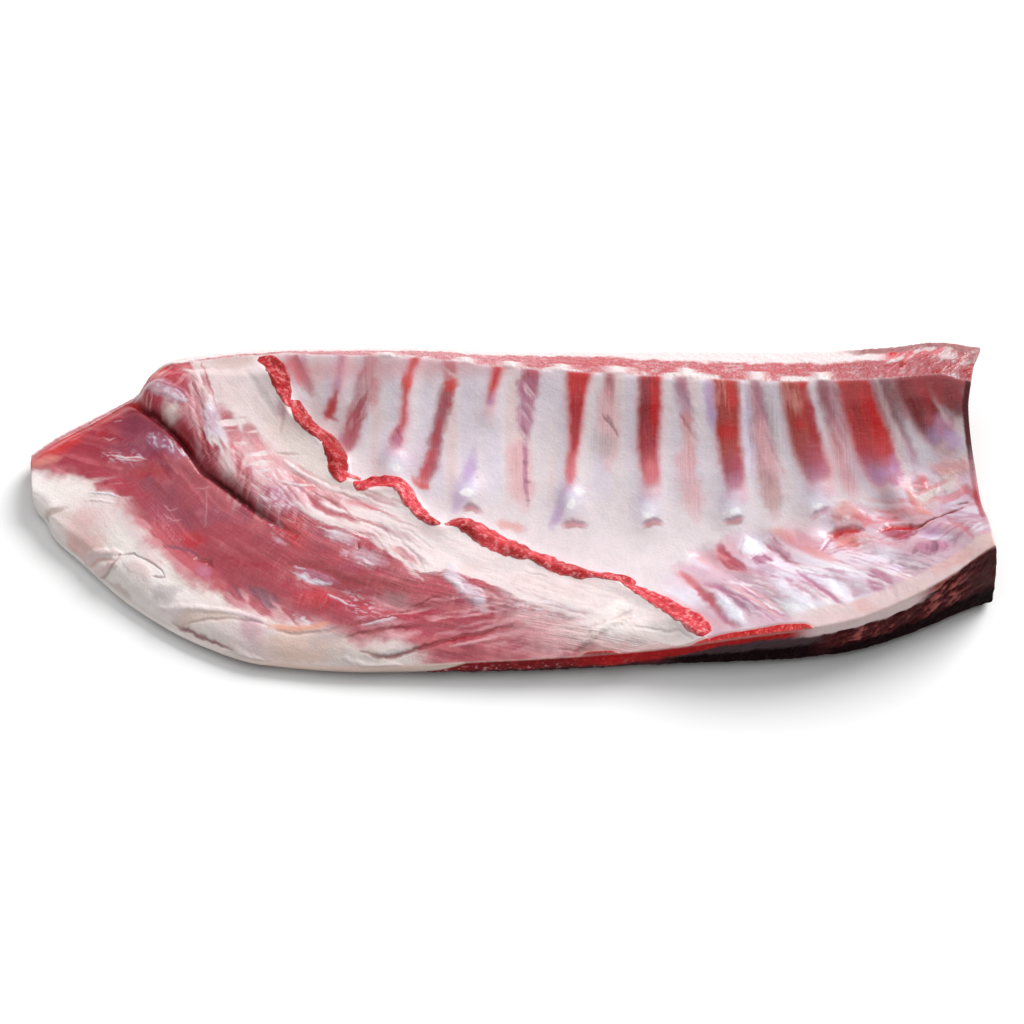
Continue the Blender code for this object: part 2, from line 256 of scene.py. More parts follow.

# Marks are (tone, strength, half-width, raised mm, points); a raised value under 0 is a crease, and
# the dark tones laid along creases are painted shade.
RIB_MARKS = (
    (CARMINE, 0.9, 0.9, 0, ((-76, 52), (-77, 48))),
    (BLOOD, 1.0, 2.4, -0.3, ((-77, 49), (-79, 44), (-81, 41))),
    (CARMINE, 0.8, 0.9, 0, ((-83, 43), (-79, 42), (-76, 40))),
    (BLOOD, 0.8, 1.6, 0, ((-42, 67), (-43, 60))),
    (SCARLET, 0.9, 2.6, 0, ((-46, 57), (-45, 51))),
    (SCARLET, 0.95, 3.0, 0, ((-27, 55), (-26, 50))),
    (ROSE, 0.8, 1.6, 0, ((-29, 47), (-26, 44))),
    (BLUSH, 0.8, 0.5, 0, ((-30, 60), (-27, 57), (-24, 55))),
    (VIOLET, 0.8, 3.2, 0, ((-16, 26), (-19, 15), (-22, 5), (-24, 0))),
    (SALMON, 0.6, 2.0, 0, ((0, 61), (8, 60), (16, 61))),
    (VIOLET, 0.8, 2.4, 0, ((25, 9), (21, 0), (17, -8))),
    (BLOOD, 1.0, 4.2, 0, ((31, 59), (30, 54))),
    (CARMINE, 0.9, 1.8, 0, ((29, 48), (28, 36), (27, 26))),
    (PINK, 0.7, 1.4, 0, ((27, 24), (26, 12))),
    (PLUM, 0.7, 0.5, -0.2, ((39, 38), (43, 34), (46, 30))),
    (PLUM, 0.5, 0.5, -0.2, ((41, 38), (44, 34))),
    (UMBER, 0.3, 2.0, 0, ((57, 54), (57, 40), (56, 30))),
    (BLOOD, 0.95, 2.0, 0, ((63, 56), (62, 42), (61, 30))),
    (CARMINE, 0.8, 1.8, 0, ((57, 32), (57, 24))),
    (PINK, 0.75, 2.2, 0, ((60, 20), (60, 10))),
    (BLOOD, 0.9, 2.6, 0, ((94, 53), (94, 47))),
    (BLOOD, 0.9, 2.2, 0, ((94, 46), (95, 36))),
    (BLOOD, 0.95, 3.8, 0, ((94, 31), (93, 26))),
    (ROSE, 0.85, 3.4, 0, ((95, 20), (96, 12))),
    (VIOLET, 0.5, 2.0, 0, ((101, 44), (102, 28), (103, 12))),
    (VIOLET, 0.75, 2.4, 0, ((85, 48), (86, 38), (87, 30))),
    (BLOOD, 0.9, 2.4, 0, ((124, 52), (126, 42))),
    (CARMINE, 0.9, 2.2, 0, ((128, 42), (130, 30), (132, 20))),
    (SALMON, 0.5, 1.8, 0, ((121, 42), (123, 35))),
    (BLOOD, 0.8, 2.2, 0, ((123, 32), (125, 28))),
    (ROSE, 0.8, 4.4, 0, ((128, 24), (131, 14))),
    (BLOOD, 0.9, 3.0, 0, ((141, 52), (145, 40), (150, 30))),
    (BRICK, 0.5, 1.4, 0, ((148, 52), (151, 42))),
    (BLOOD, 1.0, 6.4, 0, ((154, 29), (160, 16))),
    (BLOOD, 0.7, 4.6, 0, ((155, 27), (160, 17))),
    (MAUVE, 0.9, 4.0, 0, ((164, 11), (167, 4))),
    (CLARET, 0.8, 3.0, 0, ((168, 51), (173, 43))),
    (BRICK, 0.7, 2.4, 0, ((175, 50), (179, 42))),
    (CARMINE, 0.7, 2.6, 0, ((177, 40), (180, 34))),
    (ROSE, 0.8, 2.4, 0, ((178, 34), (182, 30))),
    (MAUVE, 0.9, 3.6, 0, ((185, 33), (188, 26))),
    (BRICK, 0.95, 3.6, 0, ((180, 48), (186, 42), (191, 38))),
    (UMBER, 0.85, 3.4, 0, ((187, 44), (192, 38), (196, 32))),
    (VIOLET, 0.7, 3.4, 0, ((188, 26), (193, 20))),
    (SALMON, 0.6, 2.2, 0, ((-6, -5), (0, -7), (6, -9))),
    (PINK, 0.9, 2.6, 0, ((-98, 66), (-94, 60), (-91, 54))),
    (ROSE, 0.6, 2.8, 0, ((-66, 46), (-69, 35), (-72, 27))),
    (ROSE, 0.6, 2.8, 0, ((-93, 66), (-90, 58), (-87, 51))),
    (BLUSH, 0.8, 0.5, 0, ((10, 58), (13, 54))),
    (ICE, 0.5, 1.3, 0, ((99, 50), (101, 30), (103, 8))),
    (ICE, 0.5, 1.2, 0, ((128, 52), (132, 36), (139, 16))),
    (BLUSH, 0.75, 1.5, 0, ((155, 52), (161, 38), (168, 22))),
    (BLUSH, 0.5, 1.3, 0, ((178, 50), (184, 38), (190, 28))),
    (BLUSH, 0.7, 0.5, 0, ((5, 50), (9, 45))),
)
SLASHES = (  # shadowed nicks under the knuckles: half-width and points
    (1.6, ((-21, 1), (-17, 2.5), (-13, 0.5))),
    (2.0, ((22, -6), (27, -5), (32, -6))),
    (1.6, ((57, -7), (61, -5.5), (65, -6))),
    (1.6, ((92, -7), (96, -6), (99, -5))),
    (1.6, ((128, -6), (132, -4.5), (136, -2.5))),
)
# Fine lines inside a broad stroke: (tone, strength, half-width, turn from x, spacing, points)
RIB_HATCHES = (
    (PLUM, 0.6, 2.6, 2, 1.5, ((-15, 18), (-18, 10))),
    (BLUSH, 0.7, 3.2, -48, 1.6, ((9, 58), (8, 44), (6, 30))),
    (PLUM, 0.5, 2.6, -48, 1.3, ((8, 52), (7, 40), (6, 32))),
    (PLUM, 0.5, 1.2, -10, 1.2, ((6, 30), (7, 14), (7, 4))),
    (CLARET, 0.5, 2.4, -60, 1.1, ((-48, 36), (-51, 28))),
    (CARMINE, 0.5, 3.4, 75, 1.3, ((-64, 56), (-67, 44), (-70, 34))),
    (BLUSH, 0.4, 3.2, 62, 1.2, ((-63, 60), (-65, 50), (-69, 38))),
    (CARMINE, 0.6, 3.0, 70, 1.6, ((-29, 46), (-33, 34), (-37, 18))),
    (ROSE, 0.8, 4.6, -58, 1.5, ((-97, 66), (-93, 58), (-91, 50))),
    (PLUM, 0.3, 4.0, -52, 1.4, ((72, 48), (76, 38), (78, 28))),
    (PLUM, 0.25, 5.0, -62, 1.5, ((103, 46), (108, 30), (112, 10))),
    (PLUM, 0.3, 4.0, -62, 1.5, ((133, 48), (139, 34), (144, 18))),
    (UMBER, 0.3, 4.0, -60, 1.3, ((157, 48), (165, 34), (171, 18))),
    (SALMON, 0.45, 4.2, -82, 0.8, ((90, 50), (92, 36))),
    (SALMON, 0.45, 4.2, -76, 0.8, ((119, 50), (122, 36))),
    (DARK_RED_AND_SHADE, 0.25, 4.6, -88, 1.2, ((60, 56), (59, 26))),
    (DARK_RED_AND_SHADE, 0.2, 5.0, -72, 1.2, ((145, 52), (154, 28))),
    (DARK_RED_AND_SHADE, 0.3, 5.0, -66, 1.2, ((169, 50), (177, 36))),
)
# Tints are soft ovals: (tone, strength, x, y, half-length, half-width, turn in degrees).
# Without a tone they are painted light, or painted shade where the strength is under 0.
RIB_UNDERTINTS = (
    (ROSE, 0.25, -78, 36, 12, 14, 0),
    (LILAC, 0.3, -70, 57, 12, 8, 0),
    (MAUVE, 0.2, -42, 24, 13, 10, 0),
    (MAUVE, 0.35, 152, 13, 12, 8, 0),
)
RIB_TINTS = (
    (None, 0.14, 2, 37, 19, 12, 0),
    (None, -0.09, -41, 16, 15, 14, 0),
    (PINK, 0.45, 141, 24, 6, 15, 0),
    (ROSE, 0.25, 135, 44, 5, 11, 0),
    (CLARET, 0.35, 178, 48, 9, 9, 0),
    (PALE_PINK, 0.35, 28, -33, 22, 6, -25),
)

FLANK_MARKS = (
    (SCARLET, 0.8, 6.5, 0.3, ((-210, 28), (-200, 33), (-188, 40))),
    (SALMON, 0.75, 2.4, 0.2, ((-210, 24), (-203, 25), (-196, 26))),
    (PINK, 0.6, 1.2, 0.2, ((-208, 36), (-198, 43), (-186, 50), (-176, 57))),
    (SCARLET, 0.45, 5.0, 0, ((-186, 44), (-176, 50), (-168, 53))),
    (CARMINE, 0.7, 3.0, -0.4, ((-180, 40), (-177, 36))),
    (DUSK, 0.8, 7.0, -0.3, ((-171, 41), (-162, 35), (-152, 27))),
    (DUSK, 0.7, 4.0, -0.4, ((-175, 29), (-164, 27), (-152, 24))),
    (CARMINE, 0.75, 3.2, -0.4, ((-164, 16), (-156, 16.5), (-147, 13))),
    (PINK, 0.5, 3.0, 0.3, ((-148, 22), (-140, 19), (-134, 14))),
    (MAUVE, 0.8, 2.6, 0.2, ((-158, 32), (-150, 27), (-140, 20.5))),
    # Two thin white arcs: painted glints.
    (WHITE_FAT_AND_GLINT, 0.75, 0.45, 0.2, ((-174, 25), (-168, 23), (-162, 23), (-158, 22))),
    (WHITE_FAT_AND_GLINT, 0.6, 0.4, 0.2, ((-172, 23), (-167, 21.5), (-160, 21.5))),
    (PALE_PINK, 0.6, 0.4, 0.2, ((-174, 43.5), (-170, 43))),
    (PALE_PINK, 0.6, 0.4, 0.1, ((-178, 35), (-175, 33), (-173, 34))),
    (PALE_PINK, 0.4, 0.35, 0.1, ((-136, 6), (-129, 6))),
    (PALE_PINK, 0.3, 0.35, 0.1, ((-131, 6), (-130.5, -3), (-131, -12))),
    (PALE_PINK, 0.35, 0.4, 0.1, ((-150, 0), (-147, -3), (-143, -2))),
    (PALE_PINK, 0.35, 0.4, 0.1, ((-149, -5), (-145, -8), (-141, -7))),
    (SCARLET, 0.9, 4.5, 0.5, ((-159, 63), (-155, 62), (-151, 60))),
    (BLOOD, 0.5, 2.4, 0.3, ((-159, 62), (-155, 58))),
    (PINK, 0.7, 1.6, 0.3, ((-163, 56), (-161, 62), (-158, 66))),
    (PINK, 0.6, 1.4, 0.3, ((-152, 66), (-145, 63), (-139, 62))),
    (ROSE, 0.75, 4.0, 0, ((-149, 57), (-143, 56), (-140, 50))),
    (DEEP_ROSE, 0.5, 2.0, 0, ((-146, 50), (-141, 49))),
    (MAUVE, 0.7, 3.0, 0.5, ((-159, 55), (-153, 51), (-145, 47), (-140, 44))),
    (ROSE, 0.85, 4.0, 0, ((-161, 49), (-156, 46), (-152, 43))),
    (CREAM, 0.9, 4.0, 0.2, ((-150, 43), (-147, 39), (-145, 34))),
    (ROSE, 0.9, 5.0, 0, ((-143, 37), (-139, 29), (-136, 23))),
    (CARMINE, 0.85, 3.4, 0, ((-146, 33), (-141, 26), (-138, 21))),
    (PALE_PINK, 0.7, 3.5, 0.2, ((-141, 44), (-137, 38), (-134, 30))),
    (WHITE_FAT_AND_GLINT, 0.8, 2.0, 0.4, ((-143, 62), (-137, 53), (-132, 44), (-130, 36))),
    (MAUVE, 0.5, 0.6, -0.2, ((-138, 50), (-134, 42), (-132, 34), (-131, 24))),
    (DEEP_ROSE, 0.5, 0.7, -0.3, ((-135, 42), (-133, 36), (-133, 28), (-129, 17))),
    (LILAC, 0.8, 4.0, 0.2, ((-130, 42), (-128, 34), (-125, 26))),
    (MAUVE, 0.4, 3.0, 0, ((-130, 38), (-128, 30))),
    (ROSE, 0.9, 3.4, -0.2, ((-126, 41), (-122, 34), (-119, 27), (-118, 18))),
    (PINK, 0.8, 2.4, 0, ((-119, 27), (-118, 17), (-116, 8))),
    (ROSE, 0.8, 3.6, -0.1, ((-115, 35), (-112, 28), (-108, 20))),
    (PINK, 0.8, 2.6, 0, ((-110, 26), (-105, 19), (-98, 14))),
    (BLUSH, 0.8, 3.5, 0.2, ((-124, 22), (-122, 14), (-120, 8))),
    (PALE_PINK, 0.5, 5.0, 0, ((-112, 8), (-104, 2), (-97, -3))),
    (PALE_PINK, 0.8, 9.0, 0, ((-116, 26), (-108, 16), (-96, 8), (-84, 2), (-72, -2))),
    (MAUVE, 0.7, 5.0, 0, ((-108, 2), (-100, 0), (-92, -4))),
    (PINK, 0.8, 2.4, -0.2, ((-96, 12), (-90, 8), (-84, 4))),
    (PINK, 0.7, 1.6, -0.2, ((-92, 16), (-84, 11), (-76, 6), (-66, 3))),
    (WHITE_FAT_AND_GLINT, 0.9, 1.0, 0.4, ((-98, 18), (-90, 13), (-80, 8), (-70, 4), (-60, 2))),
    (WHITE_FAT_AND_GLINT, 0.9, 0.8, 0.4, ((-100, 8), (-92, 6), (-86, 7))),
    (BUFF, 0.35, 0.7, -0.2, ((-96, 14), (-88, 9), (-80, 5))),
    (BUFF, 0.35, 5.0, 0, ((-133, 62), (-120, 64), (-112, 62))),
    (BUFF, 0.35, 2.0, -0.2, ((-146, 64), (-138, 61), (-132, 60))),
    (GREY_FAT_SHADE_AND_SHEEN, 0.5, 1.5, -0.2, ((-115, 57), (-108, 47), (-102, 38))),
    (CREAM, 0.8, 6.0, 0, ((-104, 36), (-92, 26), (-82, 16), (-66, 6))),
    (MAUVE, 0.6, 2.4, -0.2, ((-101, 44), (-99, 38))),
    (BUFF, 0.45, 0.7, -0.3, ((-101, 21), (-96, 21), (-92, 22))),
    (BUFF, 0.35, 0.8, -0.2, ((-99, 43), (-99, 36), (-100, 30))),
    (MAUVE, 0.6, 1.0, -0.2, ((-96, 8), (-92, 5), (-90, 3))),
    (CLARET, 0.75, 0.7, -0.3, ((-86, 4), (-80, 1), (-74, -2))),
    (ROSE, 0.85, 2.2, -0.2, ((-87, 2), (-82, -4), (-74, -8), (-66, -10))),
    (WHITE_FAT_AND_GLINT, 0.9, 0.9, 0.3, ((-82, -1), (-76, -4), (-70, -6))),
    (PINK, 0.6, 1.6, -0.1, ((-72, 1), (-64, -1), (-57, -2))),
    (WHITE_FAT_AND_GLINT, 0.9, 2.4, 0.3, ((-90, -4), (-80, -9), (-68, -12), (-58, -15))),
    (SCARLET, 0.45, 5.0, 0.2, ((-95, -10), (-91, -17), (-87, -22))),
    (DEEP_ROSE, 0.6, 4.0, -0.3, ((-122, -24), (-110, -27), (-96, -30))),
    (CLARET, 0.7, 2.6, -0.3, ((-93, -30), (-81, -32), (-75, -35), (-69, -38), (-60, -39), (-50, -42))),
    (MAUVE, 0.7, 2.0, 0.2, ((-91, -34), (-82, -36), (-74, -39))),
    # White strokes: painted wet glints.
    (ICE, 0.9, 0.8, 0.2, ((-91, -36), (-84, -38.5), (-76, -39.5))),
    (ICE, 0.6, 0.5, 0.2, ((-92, -31.5), (-87, -33.5))),
    (CLARET, 0.55, 4.5, -0.3, ((-58, -40), (-50, -43), (-42, -43))),
    (SCARLET, 0.4, 5.0, 0.2, ((-92, -47), (-84, -48), (-76, -46))),
    (DEEP_ROSE, 0.6, 3.0, 0, ((-88, -52), (-80, -53), (-74, -52))),
    # White stroke: painted wet glint.
    (ICE, 0.6, 0.6, 0.2, ((-78, -44), (-72, -47), (-69, -49))),
    (LILAC, 0.6, 3.0, 0.1, ((-78, -17), (-72, -18), (-67, -20))),
    (CLARET, 0.7, 0.6, -0.3, ((-65, -20), (-64.5, -24))),
    (LILAC, 0.4, 4.0, 0.1, ((-68, -25), (-60, -28), (-54, -30))),
    (BLOOD, 0.5, 3.5, 0, ((-141, -15), (-135, -17), (-130, -18))),
    (PLUM, 0.7, 0.7, -0.4, ((-148, -21), (-142, -22), (-137, -23), (-133, -26))),
    (CLARET, 0.6, 1.0, -0.4, ((-134, -27), (-129, -28), (-127, -31))),
    (MAUVE, 0.6, 3.0, 0, ((-131, -31), (-129, -36))),
    (PALE_PINK, 0.35, 3.0, 0, ((-166, -4), (-159, -16), (-150, -30))),
    (GREY_FAT_SHADE_AND_SHEEN, 0.4, 3.4, 0, ((-169, -4), (-162, -15), (-156, -25))),
    (PLUM, 0.5, 3.0, -0.3, ((-112, -44), (-104, -46), (-98, -48))),
    (PALE_PINK, 0.6, 4.0, 0.1, ((-118, -44), (-104, -50), (-92, -55))),
    # Grey stroke: painted sheen.
    (GREY_FAT_SHADE_AND_SHEEN, 0.3, 4.0, 0.1, ((-56, -48), (-48, -49), (-42, -50))),
    (LILAC, 0.85, 3.0, 0.4, ((-26, -31), (-25, -37), (-20, -43), (-14, -48), (-11, -54))),
    (WHITE_FAT_AND_GLINT, 0.8, 1.4, 0.4, ((-27, -38), (-22, -41), (-20, -44))),
    (WHITE_FAT_AND_GLINT, 0.85, 4.0, 0.2, ((-60, -14), (-52, -20), (-44, -22), (-38, -30), (-32, -34))),
    (GREY_FAT_SHADE_AND_SHEEN, 0.5, 0.6, -0.2, ((-53, -12), (-46, -19), (-40, -27), (-36, -34))),
    (GREY_FAT_SHADE_AND_SHEEN, 0.5, 0.6, -0.2, ((-46, -12), (-39, -17), (-33, -22))),
    (PINK, 0.5, 2.0, 0, ((-52, -22), (-45, -24), (-40, -30))),
    (MAUVE, 0.45, 2.6, 0, ((21, -60), (30, -61), (38, -60))),
    (PORCELAIN, 0.8, 3.6, 0.5, ((30, -61), (40, -57), (49, -52))),
    (BUFF, 0.45, 0.8, -0.2, ((22, -63.5), (32, -64), (42, -61), (50, -56))),
    (PALE_PINK, 0.8, 7.0, 0, ((10, -66), (20, -66), (28, -66))),
    (GREY_FAT_SHADE_AND_SHEEN, 0.6, 0.5, -0.2, ((6, -34), (12, -36), (16, -38))),
    (WHITE_FAT_AND_GLINT, 0.8, 5.5, 0.2, ((-4, -42), (14, -50), (34, -59), (50, -66))),
    (BLUSH, 0.7, 4.0, 0.1, ((2, -56), (20, -62), (36, -68))),
    (CLARET, 0.6, 0.5, -0.3, ((-43, -51), (-38, -50), (-34, -48), (-29, -47))),
    (DEEP_ROSE, 0.5, 2.0, -0.2, ((-40, -52), (-33, -51), (-26, -50))),
    (UMBER, 0.8, 0.5, -0.4, ((-48, -53.5), (-42, -52.5))),
    (UMBER, 0.6, 0.5, -0.3, ((-69, -60), (-60, -58.5), (-54, -57), (-47, -55))),
    # White stroke: painted highlight beside a crease.
    (ICE, 0.6, 0.7, 0.3, ((-62, -60), (-55, -58.5), (-48, -57))),
    (CLARET, 0.6, 0.7, -0.4, ((-69, -65), (-60, -63.5), (-54, -62), (-45, -61), (-38, -60))),
    (PALE_PINK, 0.7, 2.0, 0.4, ((-54, -64), (-46, -65), (-38, -63))),
    (CLARET, 0.75, 0.8, -0.6, ((-63, -71), (-54, -73), (-47, -72.5), (-40, -70), (-34, -68.5),
                               (-20, -65.5), (-11, -64), (0, -61))),
    (PALE_PINK, 0.8, 0.7, 0.3, ((-26, -69.5), (-16, -68), (-6, -66.5))),
    (ROSE, 0.5, 2.0, 0.1, ((-44, -66), (-36, -65), (-26, -63))),
)
FAT_MARKS = (
    (BUFF, 0.6, 1.5, -0.3, ((-206, 0), (-200, -1), (-192, 0))),
    # Dark line: painted shade under the fold of the fat.
    (UMBER, 0.75, 0.7, -0.4, ((-143, -54), (-132, -60.5), (-122, -65.5), (-117, -68))),
    (SALMON, 0.45, 5.0, 0, ((-194, -16), (-184, -19), (-174, -17))),
    (SALMON, 0.3, 8.0, 0, ((-190, -6), (-180, -12))),
    # White strokes: painted glints.
    (ICE, 0.7, 0.6, 0.3, ((-182, 6), (-174, 5), (-168, 3))),
    (ICE, 0.6, 0.6, 0.3, ((-184, 3), (-177, 2), (-170, 0))),
    (BLUSH, 0.9, 1.6, 0.9, ((-184, -24), (-178, -22), (-170, -23), (-166, -24))),
    (SALMON, 0.5, 0.8, -0.4, ((-182, -25), (-174, -25), (-168, -27))),
    (BLUSH, 0.9, 2.2, 1.3, ((-180, -29), (-174, -29), (-169, -28), (-166, -25))),
    (BUFF, 0.55, 0.6, -0.5, ((-178, -32), (-172, -31), (-167, -27), (-165, -24))),
    (PLUM, 0.5, 0.45, -0.4, ((-166, -25), (-160, -25), (-153, -28), (-149, -32), (-147, -36))),
    (BLUSH, 0.8, 3.0, 0.5, ((-163, -29), (-157, -31), (-153, -36))),
    (PLUM, 0.6, 0.5, -0.3, ((-152, -35), (-147, -36))),
    (GREY_FAT_SHADE_AND_SHEEN, 0.7, 3.4, -0.2, ((-152, -41), (-146, -43), (-141, -42))),
    (BUFF, 0.4, 1.0, -0.4, ((-172, -33), (-166, -37), (-161, -41))),
    # Raised white ridge, partly painted highlight.
    (WHITE_FAT_AND_GLINT, 0.8, 1.3, 0.6, ((-150, -48), (-142, -50), (-130, -51), (-116, -53), (-104, -57))),
    (PEACH, 0.7, 2.4, -0.2, ((-142, -54), (-130, -54), (-118, -55))),
    (BUFF, 0.45, 0.6, -0.35, ((-138, -56), (-118, -56), (-108, -57.5), (-101, -59.5))),
    (APRICOT, 0.8, 1.6, 0.2, ((-101, -60), (-92, -61), (-82, -61), (-76, -59))),
    (BUFF, 0.6, 0.6, -0.4, ((-98, -61.5), (-92, -63), (-85, -63.5), (-77, -62.5), (-70, -60))),
    (MAUVE, 0.45, 5.0, -0.2, ((-112, -55), (-109, -61), (-107, -66))),
    (PEACH, 0.85, 6.0, 0, ((-102, -68), (-88, -69), (-72, -69))),
    # Grey strokes: painted shade.
    (GREY_FAT_SHADE_AND_SHEEN, 0.5, 3.0, 0, ((-84, -66), (-72, -66))),
    (WHITE_FAT_AND_GLINT, 0.8, 1.2, 0.4, ((-118, -66), (-108, -72), (-96, -76))),
    (WHITE_FAT_AND_GLINT, 0.7, 1.0, 0.4, ((-70, -73), (-60, -76), (-46, -76))),
    (PEACH, 0.8, 1.6, 0.9, ((31, -69), (36, -65), (43, -62), (50, -59))),
    (GREY_FAT_SHADE_AND_SHEEN, 0.7, 0.5, -0.3, ((51, -64), (58, -65), (64, -66.5), (70, -67), (75, -70))),
    (BLUSH, 0.8, 4.0, 0.3, ((42, -67), (50, -66), (60, -69))),
    (UMBER, 0.6, 0.7, -0.4, ((20, -72), (28, -72.5), (33, -70))),
)
MUSCLE_TINTS = (
    (DEEP_ROSE, 0.4, -112, -31, 34, 13, -30),
    (DEEP_ROSE, 0.6, -178, 33, 16, 8, 0),
    (DEEP_ROSE, 0.3, -84, -33, 28, 8, 0),
    (PALE_PINK, 0.3, -41, -33, 12, 7, 0),
)
FLANK_TINTS = (
    (BUFF, 0.28, -98, 37, 13, 11, 0),
    (ROSE, 0.24, -68, -63, 14, 5, 0),
    (SCARLET, 0.25, -150, 54, 9, 8, 0),
    (None, 0.28, -151, 45, 11, 15, 0),
    (PALE_PINK, 0.4, -180, -6, 13, 9, 0),
    (ROSE, 0.2, -68, -17, 12, 7, 0),
    # The flap at the sternum edge: whitened, and lightened with painted light.
    (PORCELAIN, 0.55, 46, -66, 24, 6, 0),
    (None, 0.16, 46, -66, 26, 8, 0),
    (None, -0.17, -95, 12, 14, 9, -30),
    (None, -0.1, -68, 4, 14, 10, -30),
    (None, -0.06, -178, -8, 12, 14, 0),
    (CARMINE, 0.14, -84, -33, 26, 8, 0),
    (ROSE, 0.2, 14, -64, 14, 6, 0),
    (PORCELAIN, 0.4, 66, -66, 11, 5, 0),
    (None, -0.08, 14, -64, 16, 8, 0),
    (BLOOD, 0.9, -165, 50, 4.5, 2.6, -40),
)
STERNUM_TINTS = (
    (PINK, 0.35, 150, -20, 13, 9, 0),
    (PINK, 0.42, 123, -17, 12, 8, 0),
)
# White strokes in the next table are painted wet highlights.
STERNUM_MARKS = (
    (PINK, 0.85, 1.8, -0.3, ((72, -32), (76, -38), (80, -44))),
    (SCARLET, 0.6, 2.6, -0.3, ((78, -42), (84, -50), (87, -54))),
    (ROSE, 0.75, 3.0, -0.3, ((79, -43), (85, -52), (90, -59), (94, -66))),
    (MAUVE, 0.7, 2.0, 0, ((88, -57), (92, -64))),
    (MAUVE, 0.85, 1.8, -0.3, ((82, -40), (88, -43), (94, -51), (99, -60))),
    (ICE, 1.0, 2.4, 0.6, ((86, -48), (91, -56), (96, -64))),
    (PINK, 0.8, 2.4, -0.2, ((88, -18), (91, -24), (95, -29), (99, -33))),
    (ROSE, 0.7, 0.8, -0.2, ((90, -19), (95, -26), (100, -32))),
    (ROSE, 0.6, 0.8, -0.2, ((89, -24), (93, -30), (96, -32))),
    (ICE, 0.9, 4.0, 0.6, ((98, -19), (103, -20))),
    (MAUVE, 0.9, 3.4, -0.2, ((102, -27), (108, -25), (110, -23))),
    (PLUM, 0.4, 0.8, -0.2, ((102, -25), (108, -23))),
    (MAUVE, 0.5, 5.0, 0, ((103, -33), (112, -34))),
    (SALMON, 0.5, 2.6, 0.2, ((111, -11), (116, -13), (121, -18))),
    (SALMON, 0.4, 2.4, 0.1, ((123, -20), (130, -24), (136, -30))),
    (MAUVE, 0.7, 2.2, -0.2, ((110, -16), (115, -22), (119, -28))),
    (PLUM, 0.4, 0.7, -0.2, ((112, -19), (116, -25), (119, -28))),
    (ICE, 1.0, 3.6, 0.5, ((124, -32), (131, -42), (140, -55))),
    (ICE, 0.8, 3.0, 0.3, ((110, -42), (116, -50), (124, -58))),
    (ICE, 0.8, 4.0, 0.2, ((108, -54), (122, -59), (138, -60), (152, -56))),
    (MAUVE, 0.9, 1.2, -0.5, ((120, -35), (126, -45), (132, -53), (138, -60))),
    (PALE_PINK, 0.8, 1.0, -0.2, ((92, -42), (102, -52), (112, -62))),
    (PALE_PINK, 0.7, 0.9, -0.2, ((98, -42), (106, -50), (114, -60))),
    (MAUVE, 0.5, 0.7, -0.2, ((94, -48), (102, -57), (108, -64))),
    (SALMON, 0.6, 3.6, 0.5, ((139, -8), (143, -3), (147, -6), (150, -9))),
    (WHITE_FAT_AND_GLINT, 0.8, 2.0, 0.2, ((143, -7), (144, -9))),
    (SALMON, 0.9, 4.2, 0.6, ((138, -17), (144, -19), (149, -17))),
    (BLOOD, 1.0, 2.0, -1.0, ((136, -14.5), (140, -13.5), (147, -12.5), (150, -13))),
    (MAUVE, 0.8, 0.8, -0.4, ((131, -24), (135, -18), (138, -15))),
    (MAUVE, 0.6, 0.9, 0, ((134, -26), (139, -24), (146, -23))),
    (PINK, 0.7, 2.0, 0.2, ((148, -6), (153, -9), (150, -12))),
    (PINK, 0.6, 1.0, -0.2, ((151, -11), (160, -9), (168, -8))),
    (PINK, 0.6, 2.2, 0.2, ((160, -7), (168, -5), (176, -7))),
    (BLOOD, 1.0, 1.7, -1.0, ((157, -15), (162, -13), (168, -13), (174, -14))),
    (CLARET, 0.9, 3.4, -0.3, ((159, -16), (166, -19), (171, -16))),
    (ROSE, 0.8, 2.6, -0.2, ((165, -18), (167, -23))),
    (CLARET, 0.95, 0.8, -0.6, ((171, -15), (178, -12), (184, -10), (192, -8))),
    (SALMON, 0.8, 1.6, 0.2, ((170, 8), (170, 2), (174, -5), (180, -10))),
    (CREAM, 0.8, 6.0, 0.6, ((176, 4), (180, -2))),
    (PINK, 0.8, 1.4, 0.4, ((173, 8), (177, 9), (177, 5), (173, 5))),
    (CREAM, 0.7, 5.0, 0.5, ((184, 8), (190, 4))),
    (LILAC, 0.8, 5.0, 0, ((186, 0), (190, -8), (196, -16))),
    (SALMON, 0.5, 3.0, 0.4, ((182, 13), (190, 13), (198, 12))),
    (ROSE, 0.7, 2.0, -0.2, ((193, 4), (197, 0), (199, -4))),
    (CLARET, 0.7, 0.9, -0.4, ((190, -5), (195, -5))),
    (VIOLET, 0.6, 5.0, 0, ((180, -17), (176, -24))),
    (MAUVE, 0.8, 5.6, -0.2, ((169, -33), (177, -32), (184, -32))),
    (PLUM, 0.35, 0.6, -0.2, ((173, -36), (174, -30))),
    (PLUM, 0.35, 0.6, -0.2, ((177, -36), (178, -29))),
    (PLUM, 0.35, 0.6, -0.2, ((181, -36), (182, -30))),
    (PINK, 0.6, 1.4, -0.2, ((185, -14), (189, -24), (192, -34))),
    (MAUVE, 0.9, 3.2, -0.3, ((151, -41), (151, -48), (153, -55))),
    (MAUVE, 0.7, 1.6, -0.3, ((153, -42), (157, -50), (158, -57))),
    (VIOLET, 0.5, 2.6, 0, ((157, -43), (164, -42))),
    (PLUM, 0.6, 0.8, -0.2, ((157, -38), (160, -38))),
    (ICE, 0.7, 5.0, 0.2, ((160, -32), (152, -28))),
    (ICE, 0.7, 4.0, 0.2, ((190, -28), (197, -28))),
)
